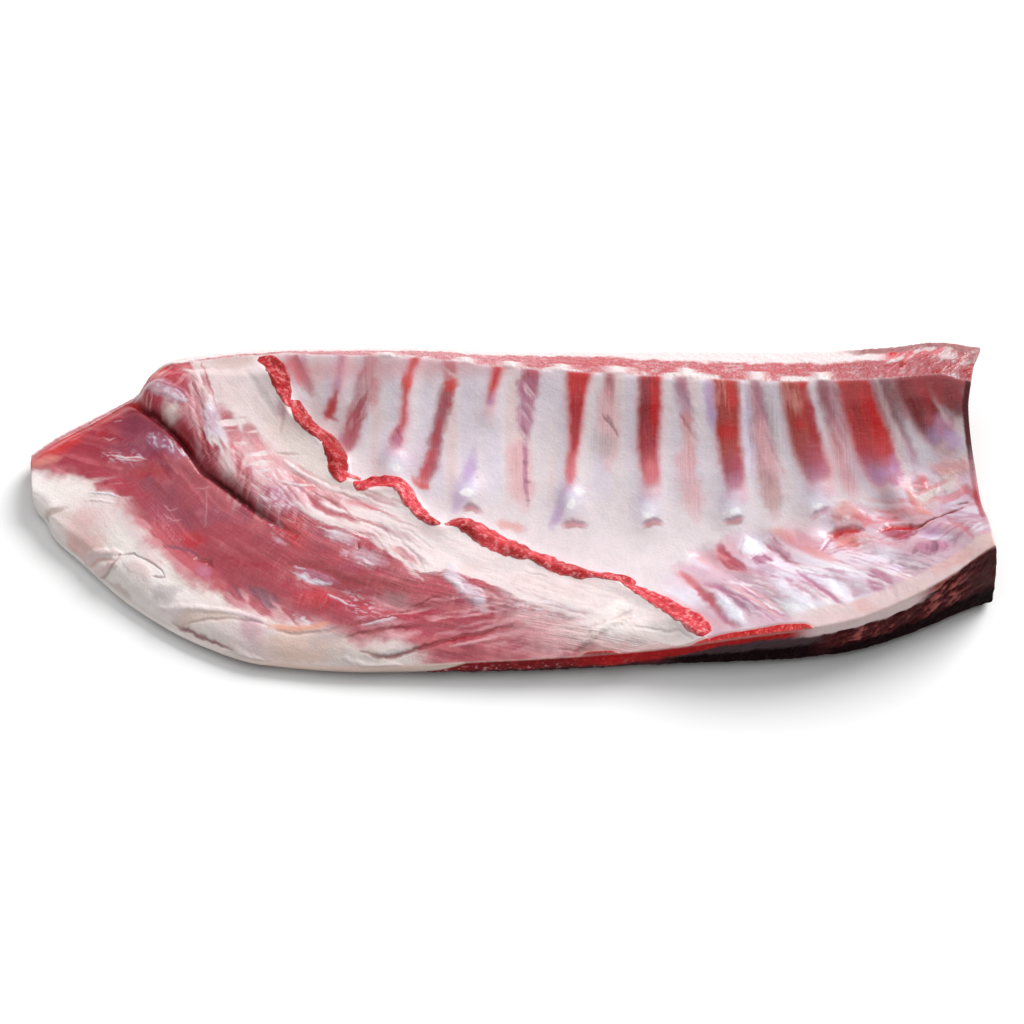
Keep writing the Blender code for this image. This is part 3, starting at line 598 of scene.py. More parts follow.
FLANK_HATCHES = (
    (PINK, 0.7, 6.0, 34, 1.3, ((-208, 30), (-190, 41))),
    (PALE_PINK, 0.7, 4.2, 82, 1.2, ((-161, 50), (-154, 44))),
    (PALE_PINK, 0.7, 5.0, 48, 1.4, ((-153, 60), (-143, 54))),
    (SALMON, 0.8, 3.6, 20, 1.3, ((-158, 63), (-152, 62))),
    (PALE_PINK, 0.8, 3.4, -75, 1.3, ((-139, 54), (-135, 36), (-132, 20))),
    (DEEP_ROSE, 0.6, 4.0, -72, 1.2, ((-138, 52), (-135, 36), (-131, 18))),
    (ROSE, 0.7, 7.0, 85, 1.7, ((-121, 16), (-113, 6), (-103, -3))),
    (WHITE_FAT_AND_GLINT, 0.9, 6.0, 12, 1.6, ((-124, 38), (-115, 30), (-111, 22), (-108, 14))),
    (ROSE, 0.6, 6.0, -50, 1.5, ((-104, 12), (-92, 2), (-80, -2), (-66, -6))),
    (WHITE_FAT_AND_GLINT, 0.35, 6.0, 78, 1.7, ((-124, 8), (-112, 0), (-98, -6))),
    (CARMINE, 0.7, 4.4, 78, 1.3, ((-93, -48), (-82, -49), (-76, -50))),
    (ROSE, 0.8, 5.0, -48, 1.6, ((-122, -40), (-110, -46), (-98, -54), (-86, -58))),
    (PLUM, 0.7, 3.0, -60, 1.4, ((-118, -42), (-106, -45), (-98, -50))),
    (PALE_PINK, 0.5, 4.0, -42, 1.3, ((-158, -8), (-149, -24), (-136, -37))),
    (GREY_FAT_SHADE_AND_SHEEN, 0.32, 8.0, -27, 1.7, ((-56, -10), (-30, -20), (0, -34), (36, -46), (58, -58))),
    (PLUM, 0.5, 4.6, -44, 1.1, ((-56, -13), (-47, -20), (-38, -30))),
    (WHITE_FAT_AND_GLINT, 0.8, 4.0, -52, 1.3, ((-58, -16), (-46, -24), (-38, -34), (-32, -38))),
    (PLUM, 0.5, 4.0, -12, 1.1, ((2, -50), (14, -54), (28, -57))),
    (PALE_PINK, 0.6, 6.0, 4, 1.4, ((-34, -52), (-10, -52), (10, -58), (30, -62))),
    (PALE_PINK, 0.5, 6.0, 12, 1.5, ((-60, -57), (-40, -56), (-16, -62), (6, -68))),
    (PALE_PINK, 0.22, 6.0, 80, 1.3, ((-24, -44), (0, -56), (20, -66))),
    (WHITE_FAT_AND_GLINT, 0.6, 7.0, 4, 2.0, ((-186, 8), (-168, 4))),
    (GREY_FAT_SHADE_AND_SHEEN, 0.5, 6.0, 3, 1.8, ((-80, -66), (-60, -68), (-44, -70))),
)
FOLD_HATCHES = (  # white threads that cross the deepest fold
    (PALE_PINK, 0.3, 3.6, 74, 1.1, ((-126, 19), (-114, 8), (-100, -4), (-88, -12))),
)
FLANK_SPARKLES = (  # painted wet glints: (strength, half-width, points)
    (0.9, 2.4, ((-158, 55), (-150, 50), (-141, 44))),
    (0.9, 2.2, ((-157, 32), (-150, 28), (-140, 21))),
    (0.8, 2.6, ((-131, 40), (-129, 33), (-127, 26))),
    (0.8, 1.6, ((-79, -16), (-73, -19))),
    (0.7, 3.0, ((-70, -25), (-59, -30))),
    (0.5, 5.0, ((-69, -46), (-58, -54))),
    (0.7, 3.2, ((-108, 0), (-92, -4))),
    (0.6, 1.8, ((-92, -35), (-77, -39))),
    (0.7, 1.8, ((-90, -55), (-84, -58))),
    (0.5, 5.0, ((-106, 14), (-95, 4))),
    (0.5, 3.0, ((-176, 25), (-160, 22))),
    (0.4, 4.0, ((0, -50), (24, -56))),
    (0.4, 4.0, ((-120, 22), (-106, 10))),
    (0.4, 3.0, ((-102, -10), (-97, -20))),
)
STERNUM_HATCHES = (
    (PLUM, 0.6, 5.4, 78, 2.0, ((169, -33), (183, -32))),
    (ROSE, 0.7, 3.6, -48, 1.2, ((88, -18), (97, -31))),
    (PLUM, 0.6, 3.4, -58, 1.3, ((102, -27), (111, -24))),
    (MAUVE, 0.8, 5.0, -44, 1.7, ((92, -40), (104, -52), (114, -62))),
    (ROSE, 0.7, 3.4, -52, 1.3, ((110, -16), (120, -28))),
    (ROSE, 0.8, 3.4, 60, 1.1, ((161, -16), (171, -17))),
    (ROSE, 0.5, 5.0, 15, 1.3, ((134, -19), (148, -22))),
    (PINK, 0.7, 6.0, -14, 1.5, ((142, -7), (160, -4), (174, -6))),
    (PINK, 0.6, 6.0, 22, 1.8, ((174, 6), (186, 2), (196, -4))),
    (LILAC, 0.8, 6.0, -44, 2.2, ((118, -34), (134, -54))),
    (MAUVE, 0.5, 6.0, -30, 1.6, ((184, -8), (196, -20))),
    # White hatches: painted highlight streaks.
    (WHITE_GLINT, 0.7, 7.0, -42, 0.9, ((96, -42), (112, -54), (134, -56))),
    (PLUM, 0.45, 7.0, -42, 0.8, ((92, -46), (108, -58))),
    (PLUM, 0.45, 6.0, -38, 0.9, ((146, -28), (164, -40), (180, -42))),
    (MAUVE, 0.55, 8.0, -42, 1.1, ((98, -34), (124, -44), (146, -36))),
    # White hatches: painted highlight streaks.
    (WHITE_GLINT, 0.6, 7.0, -36, 1.0, ((120, -34), (146, -44), (170, -46))),
    (MAUVE, 0.5, 6.0, 24, 1.0, ((158, -20), (180, -20), (196, -28))),
)
# Painted wet glints over the sternum: (strength, half-width, points).
STERNUM_SPARKLES = (
    (0.7, 5.0, ((104, -38), (122, -50))),
    (0.6, 5.0, ((150, -18), (160, -26))),
    (0.5, 3.0, ((134, -20), (150, -24))),
    (0.5, 6.0, ((164, -40), (150, -34))),
    (0.5, 5.0, ((186, -14), (198, -26))),
    (0.6, 3.0, ((98, -16), (108, -14))),
)
# Painted sheen: a white line along the top of the roll.
ROLL_GLINT = ((-159, 54), (-152, 50), (-145, 45))
SLANT = (0.78, 0.62)  # direction of the streaks over the sternum, as (x, -y)
LIP_FAT = (  # white lumps along the upper edge of the sawn face: (x, half-width)
    (-150, 4), (-55, 5), (-20, 4), (0, 5), (22, 4), (46, 6), (76, 4), (106, 4), (134, 4),
)
FRONT_MEAT = (  # upper limit of the red meat along the sternum edge
    (-38, -79), (-20, -77), (0, -77), (26, -76.5), (32, -73), (41, -72.6), (49, -74.4),
    (56, -73.6), (64, -73.4), (72, -72.6), (80, -70.4), (88, -69), (100, -68.2), (112, -66.8),
    (120, -67), (127, -70.5),
)
WHITE_BAND = (  # (x, share of the sawn face) beyond which white fat starts
    (-207, 0.0), (-160, 0.05), (-60, 0.45), (40, 0.7), (70, 0.55), (207, 0.5),
)
FRONT_MEAT_START = ((-44, 0.0), (-36, 0.4), (-26, 0.75), (-14, 1.2))  # (x, share of the height)

# Relief of the top, in millimetres
RIB_RISE = 1.3
RIB_HALF_WIDTH = 5.5
KNUCKLE_RISE = 2.4
KNUCKLE_WIDTH = 7.0
KNUCKLE_LENGTH = 8.0
DIAPHRAGM_RISE = 5.5
DIAPHRAGM_SLOPE = 3.5
BEAD_RISE = 1.6  # along the cut edge of the diaphragm
BEAD_HALF_WIDTH = 5.0
FLANK_THINS = (20, 75)  # distances from the cut edge between which the flank thins
FOLDS = (  # (points, half-width, depth)
    (((-172, 58), (-160, 45), (-150, 36), (-141, 26), (-133, 14), (-120, 4), (-106, -8),
      (-92, -17)), 1.5, 2.7),
    (((-93, -37), (-65, -47), (-37, -53), (5, -55)), 5.0, 2.2),
    (((-72, -67), (-40, -62), (0, -64), (45, -60)), 4.5, 1.4),
    (((-178, 20), (-150, 2), (-122, -38), (-92, -60)), 6.0, 1.2),
)
DEEP_FOLD = FOLDS[0][0]
ROLL = ((-156, 66), (-140, 48), (-122, 26), (-100, 4), (-75, -14))
ROLL_RISE = 2.0
ROLL_HALF_WIDTH = 13.0
ROLL_STEP = 1.7  # further rise right behind the deep fold
GROOVES = (  # between the cartilages of the sternum
    ((82, -22), (98, -40), (112, -60)),
    ((106, -16), (124, -34), (142, -54)),
    ((136, -12), (152, -28), (166, -44)),
    ((160, -4), (172, -16), (184, -30)),
)
GROOVE_DEPTH = 1.8
GROOVE_HALF_WIDTH = 4.5
EDGE_SHARES = (0.1, 0.09)  # shares of the width over which the relief fades in and out
BROAD_MARK = 1.5  # marks with a larger half-width lie under the hatches


# ---------------------------------------------------------------- shape helpers
def hermite(t, step, values, tangents, i):
    """Cubic between the values i and i + 1, with t going from 0 to 1 over the step."""
    return (
        (1 + 2 * t) * (1 - t) ** 2 * values[i]
        + t * (1 - t) ** 2 * step * tangents[i]
        + t * t * (3 - 2 * t) * values[i + 1]
        - t * t * (1 - t) * step * tangents[i + 1]
    )


def curve(keys, at):
    """Smooth curve through (place, value) keys, without overshoot; arrays in, arrays out."""
    places, values = np.array(keys, float).T
    steps = np.diff(places)
    slopes = np.diff(values) / steps
    tangents = np.concatenate(([slopes[0]], np.zeros(len(slopes) - 1), [slopes[-1]]))
    same_way = slopes[:-1] * slopes[1:] > 0
    mean = 2 * slopes[:-1] * slopes[1:] / np.where(same_way, slopes[:-1] + slopes[1:], 1.0)
    tangents[1:-1] = np.where(same_way, mean, 0.0)
    at = np.clip(at, places[0], places[-1])
    i = np.clip(np.searchsorted(places, at) - 1, 0, len(steps) - 1)
    return hermite((at - places[i]) / steps[i], steps[i], values, tangents, i)


def across(shares, rows, at):
    """Smooth curve across the cut, through one value of each row at its share of the width."""
    rows = np.array(rows)
    slopes = np.diff(rows, axis=0) / np.diff(shares)[:, None]
    middle = (slopes[:-1] + slopes[1:]) / 2
    tangents = np.concatenate((slopes[:1], middle, slopes[-1:]))
    i = np.clip(np.searchsorted(shares, at) - 1, 0, len(shares) - 2)
    step = shares[i + 1] - shares[i]
    t = (at - shares[i]) / step
    return hermite(t[:, None], step[:, None], rows, tangents, i)


def along(points, x, y):
    """Signed distance to an open line, positive on its right, and the length passed along it."""
    points = np.array(points, float)[:, :2]
    runs = np.diff(points, axis=0)
    lengths = np.hypot(runs[:, 0], runs[:, 1])
    nearest = np.full(x.shape, np.inf)
    side = np.ones(x.shape)
    passed = np.zeros(x.shape)
    for start, run, length, gone in zip(points[:-1], runs, lengths, places_along(points)):
        dx = x - start[0]
        dy = y - start[1]
        t = np.clip((dx * run[0] + dy * run[1]) / length**2, 0, 1)
        gap = np.hypot(dx - t * run[0], dy - t * run[1])
        closer = gap < nearest
        nearest = np.where(closer, gap, nearest)
        side = np.where(closer, np.sign(dx * run[1] - dy * run[0]), side)
        passed = np.where(closer, gone + t * length, passed)
    return nearest * side, passed


def places_along(points):
    """Length passed at each point of a line."""
    points = np.array(points, float)[:, :2]
    runs = np.hypot(*np.diff(points, axis=0).T)
    return np.concatenate(([0.0], np.cumsum(runs)))


def passed_share(line, x, y):
    """Signed distance to a line, the length passed along it, and that as a share of the whole."""
    gap, passed = along(line, x, y)
    return gap, passed, passed / places_along(line)[-1]


def lowered(points, by):
    return [(x, y - by) for x, y in points]


def slanted(x, y):
    """Places along and across the streaks of the sternum."""
    return SLANT[0] * x - SLANT[1] * y, SLANT[1] * x + SLANT[0] * y


def bump(distance, width):
    """1 at no distance, falling away on both sides."""
    return np.exp(-((distance / width) ** 2))


def fade(value, low, high):
    """Smooth step from 0 at low to 1 at high."""
    t = np.clip((value - low) / (high - low), 0, 1)
    return t * t * (3 - 2 * t)


def chance(i, j, seed):
    """A repeatable value from -1 to 1 for each pair of whole numbers."""
    n = (i * 374761393 + j * 668265263 + seed * 97463477) & 0xFFFFFFFF
    n = ((n ^ (n >> 13)) * 1274126177) & 0xFFFFFFFF
    return ((n ^ (n >> 16)) & 0xFFFF) / 32767.5 - 1


def noise(x, y, seed):
    """Smooth value noise from -1 to 1 with a cell of 1."""
    i = np.floor(x).astype(np.int64)
    j = np.floor(y).astype(np.int64)
    u = x - i
    v = y - j
    u = u * u * (3 - 2 * u)
    v = v * v * (3 - 2 * v)
    low = chance(i, j, seed) * (1 - u) + chance(i + 1, j, seed) * u
    high = chance(i, j + 1, seed) * (1 - u) + chance(i + 1, j + 1, seed) * u
    return low * (1 - v) + high * v


def cloud(x, y, size, seed, octaves=3):
    """Layered noise from about -1 to 1, whose largest blobs measure size."""
    total = np.zeros(x.shape)
    for k in range(octaves):
        total += noise(x * 2**k / size + 17.3 * k, y * 2**k / size - 9.1 * k, seed + k) * 0.55**k
    return total / sum(0.55**k for k in range(octaves))


def linear(colour):
    """Paint that looks like the sRGB colour under these lamps, whose gloss and strength add to it."""
    c = np.array(colour, float) / 255
    return PAINT_SHARE * np.where(c <= 0.04045, c / 12.92, ((c + 0.055) / 1.055) ** 2.4)


# ---------------------------------------------------------------- painted skin
class Skin:
    """A surface as an array of points, with their colour, finish and raised height."""

    def __init__(self, x, y, ground):
        self.x = x
        self.y = y
        self.wavy_x = x + 0.9 * cloud(x, y, 7, 3) + 0.4 * cloud(x, y, 2, 5, 2)
        self.wavy_y = y + 0.9 * cloud(x, y, 7, 11) + 0.4 * cloud(x, y, 2, 13, 2)
        self.colour = np.tile(linear(ground), x.shape + (1,))
        self.rough = np.full(x.shape, 0.42)
        self.grain = np.full(x.shape, 0.12)
        self.streak = np.zeros(x.shape)
        self.weave = np.zeros(x.shape)
        self.height = np.zeros(x.shape)
        self.fibre = np.stack((x, y), axis=-1)
        self.ragged = cloud(x, y, 2.6, 15, 3)

    def paint(self, colour, amount, **finish):
        """Mixes a colour in, and moves rough, grain, streak or weave towards the given values."""
        amount = np.clip(amount, 0, 1)
        self.colour += (linear(colour) - self.colour) * amount[..., None]
        for name, value in finish.items():
            old = getattr(self, name)
            old += (value - old) * amount

    def shade(self, factor):
        self.colour *= factor[..., None]

    def blotches(self, tone, amount, size, seed, low, high, **finish):
        """Soft patches of a colour, the largest of which measure size."""
        self.paint(tone, amount * fade(cloud(self.x, self.y, size, seed), low, high), **finish)

    def tints(self, tints, where):
        for tone, strength, *oval in tints:
            amount = where * strength * self.spot(*oval)
            # A tint without a tone is painted light, or painted shade where its strength is under 0.
            if tone:
                self.paint(tone, amount)
            else:
                self.shade(1 + amount)

    def stroke(self, points, width, start=0.25, end=0.25):
        """Soft line through the points, thinner over the given shares of it at its ends."""
        low = np.min(points, axis=0) - 2.2 * width
        high = np.max(points, axis=0) + 2.2 * width
        x, y = self.wavy_x, self.wavy_y
        near = (x > low[0]) & (x < high[0]) & (y > low[1]) & (y < high[1])
        gap, _, share = passed_share(points, x[near], y[near])
        ends = fade(share, -0.12, start) * fade(1 - share, -0.12, end)
        line = np.zeros(x.shape)
        half = width * (0.45 + 0.55 * ends) * (1 + 0.35 * self.ragged[near])
        line[near] = np.exp(-np.abs(gap / half) ** min(2.6 + 0.25 * width, 4)) * (0.3 + 0.7 * ends)
        return line

    def marks(self, marks, where):
        for tone, strength, width, raised, points in marks:
            line = self.stroke(points, width)
            self.paint(tone, where * strength * line)
            self.height += where * raised * line

    def hatches(self, hatches, where):
        """Fine uneven lines, turned from the x axis, inside broad strokes."""
        for tone, strength, width, turn, spacing, points in hatches:
            lengthways, crossways = self.turned(turn)
            ripple = noise(crossways / spacing, lengthways / (7 * spacing), 23)
            line = self.stroke(points, width, 0.1, 0.1)
            self.paint(tone, where * strength * line * fade(ripple, -0.05, 0.5))
            self.height -= 0.08 * where * line * ripple

    def layers(self, marks, hatches, where):
        """Broad marks, hatches over them, and fine marks on top."""
        self.marks([mark for mark in marks if mark[2] > BROAD_MARK], where)
        self.hatches(hatches, where)
        self.marks([mark for mark in marks if mark[2] <= BROAD_MARK], where)

    def sparkles(self, sparkles, where, lengthways, crossways):
        """Small painted wet glints, drawn out along the fibres."""
        dots = fade(noise(lengthways / 2.4, crossways / 0.6, 27), 0.05, 0.5)
        for strength, width, points in sparkles:
            glints = 0.75 * strength * self.stroke(points, width, 0.1, 0.1) * dots
            self.paint(ICE, where * glints, rough=0.15)

    def turned(self, turn, x=0.0, y=0.0):
        """Places along and across axes through (x, y), turned anticlockwise by degrees."""
        a = np.radians(turn)
        dx = self.wavy_x - x
        dy = self.wavy_y - y
        return dx * np.cos(a) + dy * np.sin(a), dy * np.cos(a) - dx * np.sin(a)

    def right_of(self, points, soft=1.0, ragged=0.0, length=5.0, depth=5.0, seed=1):
        """1 on the right of the line; its edge strays by ragged, in tongues of length by depth."""
        gap, passed = along(points, self.wavy_x, self.wavy_y)
        stray = noise(passed / length, gap / depth, seed)
        stray += 0.5 * noise(passed / length * 2.3, gap / depth * 2.3, seed + 1)
        stray += 0.25 * noise(passed / length * 5, gap / depth * 4, seed + 2)
        return fade(gap + ragged * stray, -soft, soft)

    def spot(self, x, y, length, width, turn=0.0):
        """Soft oval."""
        u, v = self.turned(turn, x, y)
        return np.exp(-((u / length) ** 2) - (v / width) ** 2)


# ---------------------------------------------------------------- sections of the body
def to_outline(x, y, z):
    """Moves stations near the two ends onto the end outlines."""
    leaned = y + END_LEAN * z
    brisket = fade(x, BRISKET_END - END_BLEND, BRISKET_END)
    flank = fade(-x, -FLANK_END - END_BLEND, -FLANK_END)
    return (
        x
        + brisket * (curve(BRISKET_OUTLINE, leaned) - BRISKET_END)
        + flank * (curve(FLANK_OUTLINE, leaned) - FLANK_END)
    )


def plain_ring(x):
    """Closed sections without relief: y and z as (stations, points), and the points of each zone."""
    corner_y = curve(SAWN_EDGE, x)[:, None]
    front_y = curve(STERNUM_EDGE, x)[:, None]
    most = SAWN_FACE_SHARE * (corner_y - front_y)
    width = np.minimum(curve(SAWN_FACE_WIDTH, x)[:, None], most)
    shares = np.linspace(0, 1, TOP_POINTS)
    top_y = front_y + shares * (corner_y - width - front_y)
    top_z = across(ROW_SHARES, [curve(row, x) for row in ROWS], shares).T
    corner_z = curve(SAWN_CORNER, x)[:, None]
    flat_y = curve(UNDERSIDE_FLAT, x)[:, None]
    toe_z = curve(STERNUM_TOE, x)[:, None]
    step = np.linspace(0, 1, SAWN_POINTS + 1)[1:]
    sawn_y = top_y[:, -1:] + (corner_y - top_y[:, -1:]) * step
    sawn_z = top_z[:, -1:] + (corner_z - top_z[:, -1:]) * step**SAWN_ROUNDING
    turn = np.linspace(0, np.pi / 2, SIDE_POINTS + 1)[1:]
    side_y = flat_y + (corner_y - flat_y) * np.cos(turn) ** SIDE_ROUNDING[0]
    side_z = corner_z * (1 - np.sin(turn)) ** SIDE_ROUNDING[1]
    heel_y = front_y + np.maximum(TOE_RUN, TOE_SLOPE * toe_z)
    base_y = flat_y + (heel_y - flat_y) * np.linspace(0, 1, BASE_POINTS + 1)[1:]
    rise = np.linspace(0, 1, FACE_POINTS + 2)[:-1]
    face_y = front_y - FRONT_SWELL * np.sin(np.pi * rise)
    face_z = toe_z + (top_z[:, :1] - toe_z) * rise
    y = np.hstack((top_y, sawn_y, side_y, base_y, face_y))
    z = np.hstack((top_z, sawn_z, side_z, 0 * base_y, face_z))
    counts = np.cumsum((0, TOP_POINTS, SAWN_POINTS, SIDE_POINTS + BASE_POINTS, FACE_POINTS + 1))
    names = ("top", "sawn", "under", "face")
    zones = [slice(first, last) for first, last in zip(counts[:-1], counts[1:])]
    return y, z, dict(zip(names, zones))


def softened(values):
    """Closed rows of values, each averaged with its two neighbours."""
    return (np.roll(values, 1, axis=-1) + 2 * values + np.roll(values, -1, axis=-1)) / 4


def normals_of(points):
    """Outward unit normals of a closed-section grid of points."""
    lengthways = np.gradient(points, axis=0)
    around = (np.roll(points, -1, axis=1) - np.roll(points, 1, axis=1)) / 2
    normal = np.cross(lengthways, around)
    return normal / np.maximum(np.linalg.norm(normal, axis=2, keepdims=True), 1e-9)


# ---------------------------------------------------------------- relief of the body
def rib_relief(x, y):
    """Rounded rib bones that end in the knuckles of their cartilages."""
    relief = np.zeros(x.shape)
    for _, _, points in RIBS:
        relief += RIB_RISE * bump(along(points, x, y)[0], RIB_HALF_WIDTH)
    for knuckle_x, knuckle_y in KNUCKLES:
        across_it = (x - knuckle_x) / KNUCKLE_WIDTH
        down_it = (y - knuckle_y - 1) / KNUCKLE_LENGTH
        relief += KNUCKLE_RISE * np.exp(-(across_it**2) - down_it**2)
    return relief


def flank_relief(x, y):
    """Folds of the flank muscle, and the roll that rises steeply behind the deepest one."""
    relief = ROLL_RISE * bump(along(ROLL, x, y)[0], ROLL_HALF_WIDTH)
    gap, _, share = passed_share(DEEP_FOLD, x, y)
    behind = fade(-gap, -0.5, 5.5) * fade(24 + gap, 0, 18)
    relief += ROLL_STEP * behind * fade(1 - share, 0, 0.3)
    for points, width, depth in FOLDS:
        gap, passed, share = passed_share(points, x, y)
        ends = fade(share, 0, 0.12) * fade(1 - share, 0, 0.2)
        uneven = 1 + 0.35 * noise(passed / 9, 0 * passed, 33)
        relief -= depth * uneven * (0.25 + 0.75 * ends) * bump(gap, width)
    return relief


def relief_at(x, y, share):
    """Height that the ribs, diaphragm, folds and cartilages add to the plain top."""
    gap, _ = along(DIAPHRAGM, x, y)
    flank_side = fade(gap, -DIAPHRAGM_SLOPE, DIAPHRAGM_SLOPE)
    relief = DIAPHRAGM_RISE * flank_side * (1 - 0.8 * fade(gap, *FLANK_THINS))
    relief += BEAD_RISE * bump(gap, BEAD_HALF_WIDTH)
    relief += (1 - flank_side) * rib_relief(x, y)
    relief += flank_side * flank_relief(x, y)
    for groove in GROOVES:
        relief -= GROOVE_DEPTH * bump(along(groove, x, y)[0], GROOVE_HALF_WIDTH)
    return relief * fade(share, 0, EDGE_SHARES[0]) * fade(1 - share, 0, EDGE_SHARES[1])


class Body:
    """Grid of the whole surface, as (stations, points) arrays in millimetres of the plan."""

    def __init__(self):
        stations = np.linspace(FLANK_END, BRISKET_END, STATIONS)
        y, z, self.zones = plain_ring(stations)
        top = self.zones["top"]
        face = self.zones["face"]
        soft = np.ones(y.shape[1])
        soft[self.zones["under"]] = 0
        soft[face.start : face.start + 4] = 0
        for _ in range(CORNER_PASSES):
            y += soft * (softened(y) - y)
            z += soft * (softened(z) - z)
        x = to_outline(np.broadcast_to(stations[:, None], y.shape), y, z)
        z[:, top] += relief_at(x[:, top], y[:, top], np.linspace(0, 1, TOP_POINTS))
        self.x = x
        self.y = y
        self.points = np.stack((x, y, z), axis=-1)
        self.normals = normals_of(self.points)
        steps = np.linalg.norm(np.diff(self.points, axis=1), axis=2)
        self.girth = np.concatenate((np.zeros((STATIONS, 1)), np.cumsum(steps, axis=1)), axis=1)
        self.girth[:, face] -= self.girth[:, -1:] + steps[:, -1:]

    def part(self, name, soft=3):
        """1 inside the zone, fading over a few points outside it."""
        where = np.zeros(self.y.shape[1])
        where[self.zones[name]] = 1
        for _ in range(soft):
            where = softened(where)
        return np.broadcast_to(where, self.y.shape)

    def share(self, name):
        """Place from 0 to 1 through the zone, clamped outside it."""
        zone = self.zones[name]
        index = np.arange(self.y.shape[1])
        share = np.clip((index - zone.start) / (zone.stop - 1 - zone.start), 0, 1)
        if zone.stop == len(index):
            share[: TOP_POINTS // 2] = 1  # the sections are closed: the last zone meets the top
        return np.broadcast_to(share, self.y.shape)


# ---------------------------------------------------------------- painting
def dark_end(skin):
    """1 where the rib wall turns dark, at the brisket end of the sawn edge."""
    return fade(skin.x, 118, 150) * fade(skin.y, 16, 40)


def paint_rib(skin, where, rib):
    """A bone that shows through the membrane between two pale bands."""
    tone, foot_tone, points = rib
    gap, passed, share = passed_share(points, skin.wavy_x, skin.wavy_y)
    half = np.interp(passed, places_along(points), [point[2] for point in points])
    inside = half - np.abs(gap)
    near = where * fade(share, -0.2, 0.05)
    pale = near * (1 - 0.85 * dark_end(skin))
    skin.paint(MEMBRANE, pale * 0.8 * bump(inside + 3.5, 2.4))
    skin.paint(LILAC, pale * 0.6 * bump(gap - half - 2.5, 2.2))
    skin.paint(PALE_PINK, near * 0.5 * fade(inside, -3.5, 0))
    core = where * fade(inside, -1.8, 2.0) * (1 - fade(share, 0.85, 1.02))
    skin.paint(tone, core, streak=0.5, rough=0.34)
    skin.paint(foot_tone, core * fade(share, 0.6, 0.92) * 0.85, streak=0.3)


def paint_dark_end(skin, where):
    """Dark meat shining through at the brisket end of the ribs."""
    x, y = skin.x, skin.y
    skin.paint(CLARET, where * 0.7 * fade(x, 154, 172) * fade(y, 30, 46))
    skin.paint(CARMINE, where * 0.7 * fade(x, 166, 176) * fade(y + 5 * skin.ragged, 34, 44))
    skin.paint(CLARET, where * 0.25 * fade(x, 128, 148) * fade(172 - x, 0, 12) * fade(y, 24, 46))


def paint_knuckle(skin, where, x, y):
    """Glossy lilac cartilage with painted highlights: a white glow and a ragged wet glint."""
    skin.paint(VIOLET, where * 0.35 * skin.spot(x, y + 5, 6, 6))
    skin.paint(ICE, where * 0.7 * skin.spot(x, y + 1, 5.0, 4.5), rough=0.2)
    glint = skin.spot(x, y - 0.5, 4.2, 2.2) * (0.9 + 0.9 * skin.ragged)
    skin.paint(WHITE_GLINT, where * 0.9 * fade(glint, 0.35, 0.8), rough=0.12)


def paint_slash(skin, where, width, points):
    """Nick with pink lips, painted shade in a dark line above them and a brown one below."""
    lips = where * skin.stroke(lowered(points, 1.0), width)
    skin.paint(MAUVE, lips * 0.5)
    skin.paint(PINK, where * 0.5 * skin.stroke(lowered(points, 1.2), width * 0.5))
    skin.paint(PLUM, where * 0.35 * skin.stroke(points, 0.7))
    skin.paint(BUFF, where * 0.6 * skin.stroke(lowered(points, 2.2), 0.6))
    skin.height -= 0.3 * lips


def paint_rib_wall(skin, where):
    """White membrane over the ribs, with the bones and the meat between them showing through."""
    x, y = skin.x, skin.y
    on_ribs = where * fade(y, 0, 14)
    bands = noise(x / 6.5, y / 70, 25)
    skin.paint(MEMBRANE, where, rough=0.36, grain=0.1)
    skin.paint(BLUSH, on_ribs * 0.8 * fade(bands, 0.0, 0.5))
    skin.paint(LILAC, on_ribs * 0.7 * fade(-bands, 0.0, 0.5))
    skin.paint(GREY_FAT_SHADE_AND_SHEEN, on_ribs * 0.4 * fade(cloud(x, y * 0.4, 14, 21), 0.1, 0.6))
    for tone, strength, width, points in INTERCOSTALS:
        skin.paint(tone, where * strength * skin.stroke(points, width, -0.1, 0.35), streak=0.6)
    skin.paint(PLUM, where * 0.5 * dark_end(skin))
    skin.paint(BRICK, where * 0.35 * dark_end(skin) * fade(skin.ragged, -0.2, 0.4))
    for rib in RIBS:
        paint_rib(skin, where, rib)
    skin.marks(RIB_MARKS, where)
    skin.hatches(RIB_HATCHES, where)
    paint_dark_end(skin, where)
    skin.tints(RIB_UNDERTINTS, where)
    # Painted shade towards the brisket end of the wall, then painted light over most of the rest.
    skin.shade(1 - 0.14 * where * fade(x, 120, 185) * fade(y, 2, 18))
    skin.shade(1 + 0.16 * where * fade(x, -64, -42) * fade(125 - x, 0, 40) * fade(y, 4, 20))
    skin.tints(RIB_TINTS, where)
    for knuckle in KNUCKLES[:-1]:
        paint_knuckle(skin, where, *knuckle)
    for width, points in SLASHES:
        paint_slash(skin, where, width, points)
    skin.paint(PINK, where * 0.45 * bump(y - 60, 5) * fade(-x, -60, 20))


def paint_muscle(skin, where, gap, passed):
    """Rose muscle with darker and paler bundles; gap and passed are places across and along it."""
    x = skin.x
    skin.paint(ROSE, where, streak=0.75, rough=0.34)
    skin.streak -= where * 0.3 * fade(-x, 90, 130)
    skin.blotches(DEEP_ROSE, where * 0.7, 26, 41, -0.1, 0.5)
    skin.blotches(DUSK, where * 0.6, 17, 51, 0.1, 0.6)
    skin.blotches(PINK, where * 0.4, 12, 39, 0.2, 0.7)
    skin.paint(PINK, where * 0.5 * fade(noise(passed / 22, gap / 2.2, 47), 0.1, 0.7))
    skin.paint(DEEP_ROSE, where * 0.5 * fade(noise(passed / 18, gap / 1.7, 49), 0.2, 0.7))
    skin.blotches(BLUSH, where * 0.6 * fade(x, -20, 30), 14, 45, -0.5, 0.3)
    skin.tints(MUSCLE_TINTS, where)


